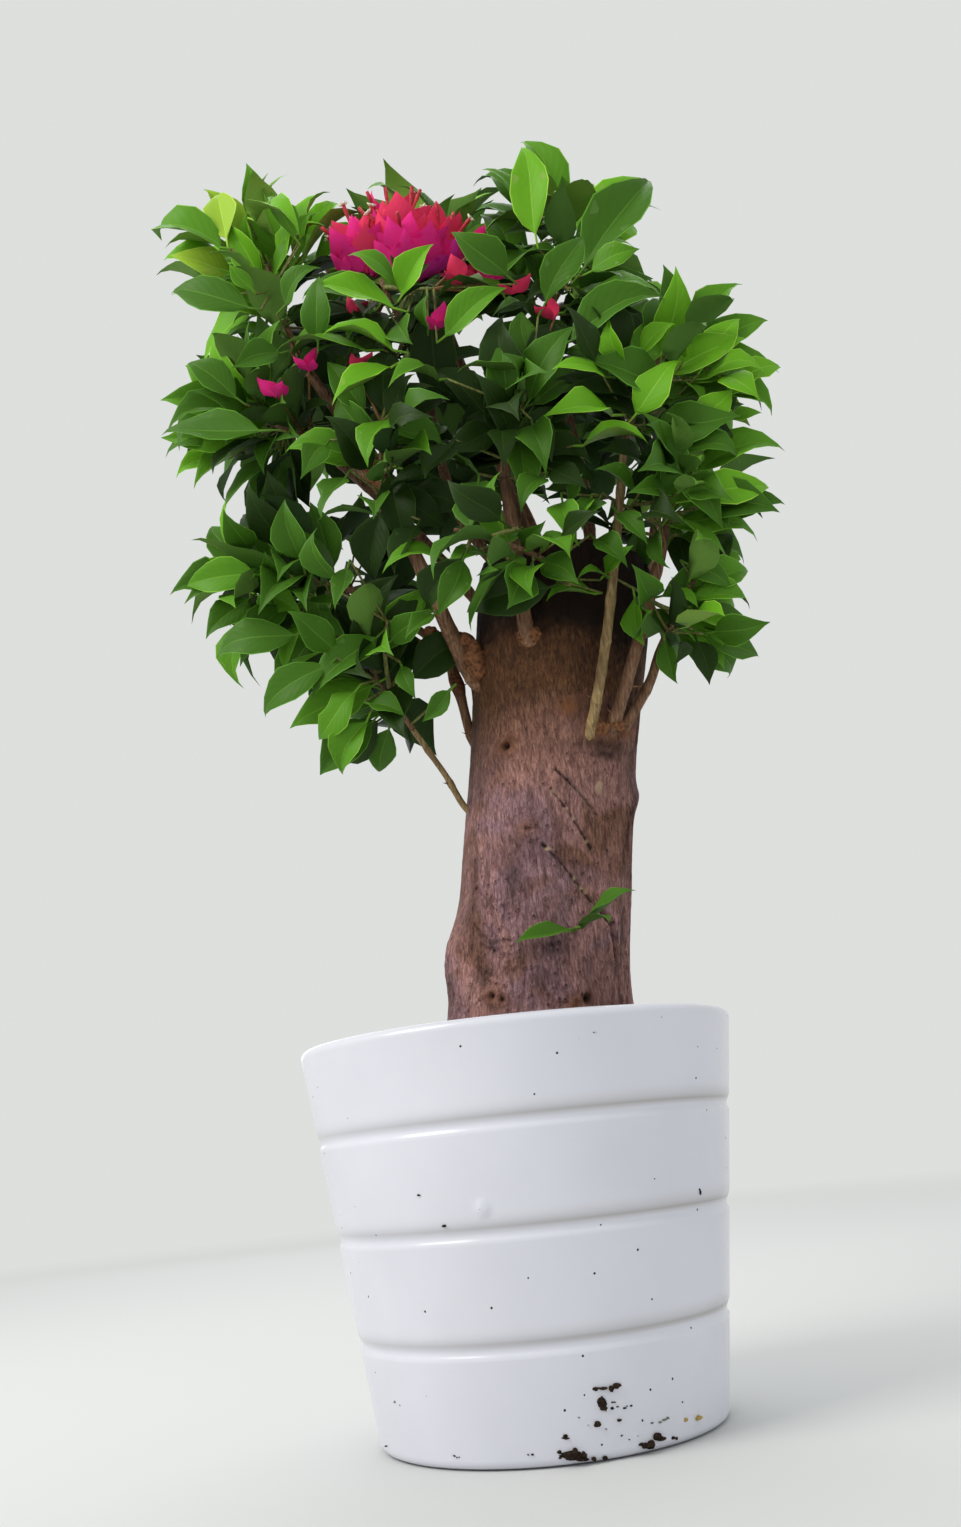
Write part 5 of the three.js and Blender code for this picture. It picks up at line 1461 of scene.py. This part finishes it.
def seen_leaves():
    """The leaves that the photograph shows best, each from its root to its tip, its face turned from the eye
    towards the light by the angle that it shows."""
    leaves = []
    for root_x, root_y, tip_x, tip_y, turn, tint in SEEN_LEAVES:
        root, tip = seen_from_eye((root_x, root_y), FRONT["root"]), seen_from_eye((tip_x, tip_y), 1)
        along = unit(tip - root)
        face = make_leaf(root, along, EYE - root, 1)["face"]
        side = np.cross(along, face)
        side = side * np.sign(side @ (UP - 0.5 * SIDEWAYS))
        angle = np.radians(turn)
        facing = np.cos(angle) * face + np.sin(angle) * side
        leaves.append((leaf_to(root, tip, facing), tint))
    return leaves


# Blades: leaves and bracts as thin closed shells. A ring across has the edges, the margins, the halves, both
# sides of the midrib and the keel below. Kinds of face: 0 upper side, 1 rib, 2 underside, 3 margin
RING_SIDES = np.array([-1, -0.95, -0.5, -0.035, 0.035, 0.5, 0.95, 1, 0])
RING_TURNS = np.radians([180, 160, 130, 100, 80, 50, 20, 0, -90])
RING_KINDS = np.array([3, 0, 0, 1, 0, 0, 3, 2, 2])
RING_CREASES = np.array([1, 0, 0, 0, 0, 0, 0, 2, 0])
STATIONS = np.array([0, 0.1, 0.25, 0.42, 0.6, 0.78, 0.92, 1])
STOUT = 45
STOUT_POWER = 0.4
LEAF_STYLE = {
    "bow": 0.78, "narrow": 0.5, "stalk": (0.12, 0.2), "stalk_radius": 0.6, "thick": 0.45,
    "width": (0.4, 0.52), "fold": (0.12, 0.7), "bulge": 0.3, "wave": 0.12, "curl": (0.05, 0.85), "hook": 0.14,
    "twist": 0.6, "sway": 0.09, "bitten": 0.12,
}
BRACT_STYLE = {
    "bow": 0.8, "narrow": 0.25, "stalk": (0.02, 0.05), "stalk_radius": 0.5, "thick": 0.4,
    "width": (0.5, 0.74), "fold": (0.15, 0.6), "bulge": 0.25, "wave": 0.2, "curl": (-0.5, 0.1), "hook": -0.1,
    "twist": 0.3, "sway": 0.06, "bitten": 0,
}
# A bite: how deep, the places along the blade, and how wide
BITE = {"depth": 0.4, "at": (0.35, 0.75), "wide": 0.1}


def blades(leaves, style):
    """Thin closed shells. Across, a ring of nine places goes over the top and back below. Along, a round
    stalk opens into a blade whose half width is a sine of a power of the share, narrowed to a drawn-out tip.
    The halves rise from the midrib and bulge, the edge waves, and the whole arches, sways and twists. Leaves
    longer than a stout one are slimmer. A bite is a bell taken from one half width."""
    seed = np.array([leaf["seed"] for leaf in leaves])[:, None, None]
    length = np.array([leaf["length"] for leaf in leaves])[:, None, None]
    root, along, face, across = (np.array([leaf[key] for leaf in leaves])[:, None, None]
                                 for key in ("root", "along", "face", "across"))
    share, u, turn = STATIONS[None, :, None], RING_SIDES[None, None], RING_TURNS[None, None]

    def dealt(key, number):
        """A value between the style's two, by chance."""
        return between(style[key], chance(seed, number, 21))

    stalk = length * dealt("stalk", 1)
    blade = length - stalk
    outline = np.sin(np.pi * share ** style["bow"]) * (1 - style["narrow"] * share ** 4)
    bitten = (chance(seed, 7, 21) < style["bitten"]) & (u * (chance(seed, 8, 21) - 0.5) > 0)
    off = (share - between(BITE["at"], chance(seed, 9, 21))) / BITE["wide"]
    outline = outline * (1 - BITE["depth"] * bitten * bell(off))
    half = 0.5 * length * dealt("width", 2) * np.minimum(1, STOUT / length) ** STOUT_POWER * outline
    stem = style["stalk_radius"] * (1 - smooth(0, 0.12, share))
    side = half * u + stem * np.cos(turn)
    height = half * (dealt("fold", 3) * np.abs(u) + style["bulge"] * (np.abs(u) - u ** 2))
    height += np.sin(turn) * (style["thick"] * (0.5 - 0.25 * share) + stem)
    ripple = np.sin(9 * share + 2 * np.pi * chance(seed, 6, 21) + 1.3 * np.sign(u))
    height += style["wave"] * half * u ** 2 * ripple
    arch = dealt("curl", 4) * (share - share ** 2.2) + style["hook"] * (share ** 3 - share ** 9)
    height += blade * arch
    angle = style["twist"] * (2 * chance(seed, 5, 21) - 1) * share
    side, height = (side * np.cos(angle) - height * np.sin(angle),
                    side * np.sin(angle) + height * np.cos(angle))
    side += blade * style["sway"] * (2 * chance(seed, 10, 21) - 1) * np.sin(np.pi * share ** 1.3)
    first = root + style["stalk_radius"] * (np.cos(turn)[..., None] * across + np.sin(turn)[..., None] * face)
    rings = (root + (stalk + blade * share)[..., None] * along + side[..., None] * across
             + height[..., None] * face)
    rows = np.concatenate([first, rings[:, :-1]], axis=1)
    count, steps, sides = rows.shape[:3]
    places = np.concatenate([rows.reshape(count, -1, 3), root[:, 0], rings[:, -1].mean(1)[:, None]], axis=1)
    stalk_kinds = np.ones(sides, int)
    kinds = np.concatenate([np.tile(np.concatenate([stalk_kinds, np.tile(RING_KINDS, steps - 2)]), count),
                            np.tile(np.concatenate([stalk_kinds, RING_KINDS]), count)])
    own = np.stack(np.broadcast_arrays(RING_SIDES, np.array([-0.2, *STATIONS[:-1]])[:, None]), -1)
    own = np.concatenate([own.reshape(-1, 2), [[0, -0.2], [0, 1]]])
    creases = np.concatenate([0 * RING_CREASES, 0 * RING_CREASES, np.tile(RING_CREASES, steps - 2), [0, 3]])
    faces = shell_faces(count, steps, sides)
    return places.reshape(-1, 3), faces, kinds, np.tile(own, (count, 1)), np.tile(creases, count)


def make_blades(name, leaves, style, materials, nodes, slot):
    """One piece of leaves or bracts of one tint."""
    places, faces, kinds, own, creases = blades(leaves, style)
    make_piece(name, places, faces, materials, nodes, slot, kinds=kinds, blade=own, creases=creases)


# Roughness and gloss of a leaf's and a bract's skins
LEAF_FINISH = {"upper": (0.48, 0.12), "rib": (0.55, 0.1), "under": (0.65, 0.08), "margin": (0.55, 0.1)}
BRACT_FINISH = {"upper": (0.6, 0.1), "rib": (0.6, 0.1), "under": (0.65, 0.1), "rim": (0.6, 0.1)}
# Tints by age and place: name, upper side, midrib, underside, margin. A leaf's score parts them, and the
# deeper tints inside and low in the crown are painted shade
LEAF_TINTS = (
    ("leaves_deep_shade", "#243a11", "#344c1b", "#324a26", "#364f20"),
    ("leaves_dark", "#406a1a", "#58822c", "#527634", "#629a34"),
    ("leaves_green", "#54891d", "#6d9e32", "#688e3f", "#80b63b"),
    ("leaves_bright", "#68a520", "#85ba3e", "#80a546", "#9fd44a"),
    ("leaves_young", "#94b834", "#aaca52", "#a8be58", "#bcd65e"),
)
TINT_SCORES = (0.76, 0.99, 1.22, 1.52)


def tint_of(leaf):
    """The number of a leaf's tint: lighter further out, higher up, at the ends of shoots, and by chance, and
    darker at the back. The lighter young growth outside is real, and the darkening inside, low down and at
    the back is painted shade.
    """
    place = leaf["root"] + 0.5 * leaf["length"] * leaf["along"]
    outer = norm((place - np.array([10, 0, 520])) / np.array([165, 120, 195]))
    score = 0.95 * outer + 0.5 * (place[2] - 400) / 320 + 0.15 * (leaf["age"] == 0)
    score += 0.55 * (chance(leaf["seed"], 9, 31) - 0.5) - 0.12 * (place[1] > 0)
    return int(np.digitize(score, TINT_SCORES))


def make_crown(twig_materials):
    """Grows every mass and makes its stems, twigs and leaves, each kind joined in pieces of one tint."""
    crown = {"leaves": [], "outlines": np.zeros((0, 4, 3)), "twigs": np.zeros((0, 4))}
    for leaf, tint in seen_leaves():
        settle(crown, leaf, 0, 900, tint)
    seen = [leaf["root"] for leaf in crown["leaves"]]
    grown = {name: grow(name, mass, crown) for name, mass in MASSES.items()}
    stems = np.array([part["stem"][0] for part in grown.values()])
    stem_radii = np.array([between(part["stem"][1], STEM_POINTS) for part in grown.values()])
    lines = np.array([line for part in grown.values() for line in part["lines"]])
    line_radii = np.tile(between(TWIG_RADII, SHOOT_POINTS), (len(lines), 1))
    bearing = np.concatenate([lines.reshape(-1, 3), stems.reshape(-1, 3)])
    joined = [(nearest(bearing, root), root) for root in seen]
    fine = np.array([between((root, end), np.linspace(-0.03, 1, 5)[:, None])
                     for root, end in joined + [twig for part in grown.values() for twig in part["twigs"]]])
    fine_radii = np.tile(between(FINE_RADII, FINE_POINTS), (len(fine), 1))
    shapes = [tubes(stems, stem_radii, 8), tubes(lines, line_radii, 7), tubes(fine, fine_radii, 6)]
    kinds = np.concatenate([kind_of_faces(shape, kind) for shape, kind in zip(shapes, (0, 1, 1))])
    make_piece("twigs", *join(shapes), twig_materials, list(MASSES), "bough_bark", kinds=kinds)
    leaves = crown["leaves"] + sprout_leaves()
    tints = np.array([tint_of(leaf) if leaf.get("tint") is None else leaf["tint"] for leaf in leaves])
    for number, (name, *shades) in enumerate(LEAF_TINTS):
        some = [leaf for leaf, tint in zip(leaves, tints) if tint == number]
        skins = leaf_surfaces(name, shades, LEAF_FINISH)
        make_blades(name, some, LEAF_STYLE, skins, [*MASSES, "sprout"], "leaf")
    return bearing


def sprout_root():
    """The sprout's root inside the trunk, and its way out."""
    root = on_trunk(SPROUT["facing"], SPROUT["height"], SPROUT["sink"])
    return root, unit(on_trunk(SPROUT["facing"], SPROUT["height"]) - root)


def sprout_leaves():
    """The sprout's leaves, from just under the tip of its short shoot, each towards its leading tip."""
    root, out = sprout_root()
    tip = root + SPROUT["length"] * out
    leaves = []
    for seed, leader in zip(SPROUT["seeds"], SPROUT["leaders"]):
        way = np.array(leader) - tip
        leaf = make_leaf(tip - out, unit(way), SKYLIGHT + 0.4 * LIGHT, norm(way))
        leaves.append({**leaf, "age": 0, "seed": seed, "tint": SPROUT["tint"]})
    return leaves


def make_sprout(material):
    """The sprout's short shoot, a tube that thins to its tip."""
    root, out = sprout_root()
    path = root + out * np.linspace(0, SPROUT["length"], 6)[:, None]
    places, faces = tubes(path[None], np.linspace(SPROUT["radius"], 1, 6)[None], 8)
    make_piece("sprout_shoot", places, faces, [material], ["sprout"], "bough_bark")


def make_bloom(twig_points):
    """Heads of bracts. A bract's tip is on the head's ball, in rounds spread evenly over all but its
    underside, and its root is below the middle, higher for the inner ones, so that they stand like the
    scales of a bud. Flower tubes stand out between them, and some open in a five-pointed star. Late bracts
    stand in twos and threes round a place that the photograph shows, each on a twig from the nearest
    growth."""
    root_of, centre, reach, seed = BLOOM
    stem = stem_of(root_of, centre, np.array(reach, float))
    stem_line = along_stem(stem, STEM_POINTS)
    bracts, paths, stars, twigs = [], [], [], []
    for index, (middle, radius, count, flowers) in enumerate(HEADS):
        middle = np.array(middle, float)
        start = nearest(stem_line, middle - radius * UP)
        twigs.append(between((start, middle - 0.5 * radius * UP), FINE_POINTS[:, None]))
        for number in range(count):
            way = spread(number, count * HEAD_SPREAD, seed + index)
            root = middle + radius * (0.14 * way - UP * between((0.9, 0.4), max(way[2], 0)))
            tip = middle + way * radius * between(HEAD_TIPS, chance(seed + index, number, 5))
            facing = UP - 1.3 * way + 0.5 * strays(seed + index, number, (2, 3, 4))
            leaf = leaf_to(root, tip, facing)
            low = -0.9 * way[2] + 0.35 * way[0] + 1.1 * (chance(seed + index, number, 7) - 0.5)
            tint = int(np.digitize(low, TINT_STEPS))
            bracts.append({**leaf, "seed": seed + index + 0.31 * number, "tint": tint})
        for number in range(flowers):
            way = unit(spread(number, flowers * 1.5, 2.0 + index) + 0.3 * UP - 0.2 * SIDEWAYS)
            root = middle - UP * radius * 0.3
            end = middle + way * radius * between(TUBE_REACH, chance(seed, number, 6 + index))
            paths.append(between((root, end), np.linspace(0.1, 1, 8)[:, None]))
            if chance(seed, number, 9 + index) > TUBE_OPEN:
                stars.append((end, unit(end - root)))
    for number, spot in enumerate(LATE_BRACTS):
        spot = seen_from_eye(spot, LATE_DEPTH)
        start = nearest(twig_points, spot)
        twigs.append(between((start, spot), FINE_POINTS[:, None]))
        for k in range(2 + number % 2):
            turn = 2.1 * k + number
            along = unit(np.array([0.7 * np.cos(turn), -0.5, 0.5 * np.sin(turn) + 0.5]))
            length = between(LATE_LENGTHS, chance(number, k, 3))
            leaf = make_leaf(spot, along, UP - 2 * along * (1, 1, 0), length)
            bracts.append({**leaf, "seed": 200 + number + 0.3 * k, "tint": number % 2})
    for number, (name, *shades) in enumerate(BRACT_TINTS):
        some = [bract for bract in bracts if bract["tint"] == number]
        skins = leaf_surfaces(name, [*shades, shades[0]], BRACT_FINISH)
        make_blades(name, some, BRACT_STYLE, skins, ["bloom"], "bract")
    stalk = grained("flower_stalk_green_red", "#86683a", "#6a4a2e", 0.6, 700)
    shapes = [tubes(stem_line[None], between(stem["radii"], STEM_POINTS)[None], 8),
              tubes(np.array(twigs), np.tile(np.linspace(0.9, 0.6, 5), (len(twigs), 1)), 6)]
    make_piece("bloom_stalks", *join(shapes), [stalk], ["bloom"], "bough_bark")
    tube_red = grained("flower_tube_red", "#c8404a", "#a32a36", 0.55, 500)
    places, faces = tubes(np.array(paths), np.tile(TUBE_RADII, (len(paths), 1)), 7)
    make_piece("flower_tubes", places, faces, [tube_red], ["bloom"], "bract")
    make_stars(stars)


def make_stars(stars):
    """Small open flowers: a shallow dish of ten points, five drawn out, on the end of a tube."""
    petal = grained("flower_cream_white", "#f4eede", "#e2d6b8", 0.6, 600)
    shapes = []
    for end, way in stars:
        across = unit(np.cross(way, SIDEWAYS))
        beside = np.cross(way, across)
        angle = turns(STAR_POINTS)
        reach = 1.9 + 1.1 * np.cos(5 * angle)
        rings = []
        for size, rise in STAR_RINGS:
            ring = across * np.cos(angle)[:, None] + beside * np.sin(angle)[:, None]
            rings.append(end + ring * (reach * size)[:, None] + way * rise)
        places = np.concatenate([*rings, [end - 0.6 * way, end + 0.2 * way]])
        shapes.append((places, shell_faces(1, len(STAR_RINGS), STAR_POINTS)))
    make_piece("flower_stars", *join(shapes), [petal], ["bloom"], "bract")


def hang_lamp(name, place, target, size, power, shade):
    """A square soft light at a place in millimetres, turned to a target."""
    lamp = bpy.data.lights.new(name, "AREA")
    lamp.shape, lamp.size, lamp.energy, lamp.color = "SQUARE", size, power, linear(shade)[:3]
    made = bpy.data.objects.new(name, lamp)
    made.location = Vector(place) * MM
    made.rotation_euler = (Vector(target) - Vector(place)).to_track_quat("-Z", "Y").to_euler()
    bpy.context.scene.collection.objects.link(made)


def make_stage():
    """A plain pale floor that melts into the pale sky far out, soft lights, and the camera at the
    photograph's viewing angle."""
    floor, node, shader = new_material("stage_floor_pale", FLOOR_SHADE, 0.9, 0)
    place = node("TexCoord").outputs["Object"]
    away_from = node("VectorMath", [place], operation="LENGTH").outputs["Value"]
    far = node("MapRange", [away_from, *FLOOR_FADE], interpolation_type="SMOOTHSTEP")
    tone = node("Mix", {0: far, 6: FLOOR_SHADE, 7: "#000000"}, data_type="RGBA")
    glow = node("Math", [far, SKY_STRENGTH], operation="MULTIPLY")
    feed(shader, {"Base Color": tone, "Emission Color": SKY_SHADE, "Emission Strength": glow})
    corners = np.array([[-1, -1], [1, -1], [1, 1], [-1, 1]]) * FLOOR_HALF
    corners = np.concatenate([corners, np.full((4, 1), FLOOR_LEVEL)], -1)
    add_mesh("stage_floor", corners, [np.array([[0, 1, 2, 3]])], [floor])
    world = bpy.data.worlds.new("pale_sky")
    world.use_nodes = True
    feed(world.node_tree.nodes["Background"], {"Color": SKY_SHADE, "Strength": SKY_STRENGTH})
    bpy.context.scene.world = world
    for name, lamp in LAMPS.items():
        hang_lamp(name, *lamp)
    camera = bpy.data.cameras.new("camera")
    camera.sensor_width = SENSOR
    camera.lens = FOCAL_PIXELS / PHOTO[1] * SENSOR
    camera.clip_start, camera.clip_end = CAMERA_REACH
    eye = bpy.data.objects.new("camera", camera)
    turn = Matrix(np.stack([RIGHT, ABOVE, -FORWARD], -1).tolist()).to_4x4()
    eye.matrix_world = Matrix.Translation(Vector(EYE * MM)) @ turn
    bpy.context.scene.collection.objects.link(eye)
    bpy.context.scene.camera = eye
    bpy.context.scene.view_settings.view_transform = "Standard"


earth = potting_soil()
brown_bark = bough_bark("bough_bark_brown", "#a08064", "#7c5a42", "#4a3324", 0.75)
tan_bark = bough_bark("bough_bark_tan", "#b49c70", "#8f774e", "#5e4a30", 0.7)
green_bark = bough_bark("young_shoot_bark", "#8f9a52", "#6c7438", "#5a4a28", 0.6)
make_pot()
make_soil(earth)
make_pot_crumbs(earth)
make_trunk()
make_boughs([brown_bark, tan_bark])
twig_places = make_crown([brown_bark, green_bark])
make_sprout(green_bark)
make_bloom(twig_places)
make_stage()
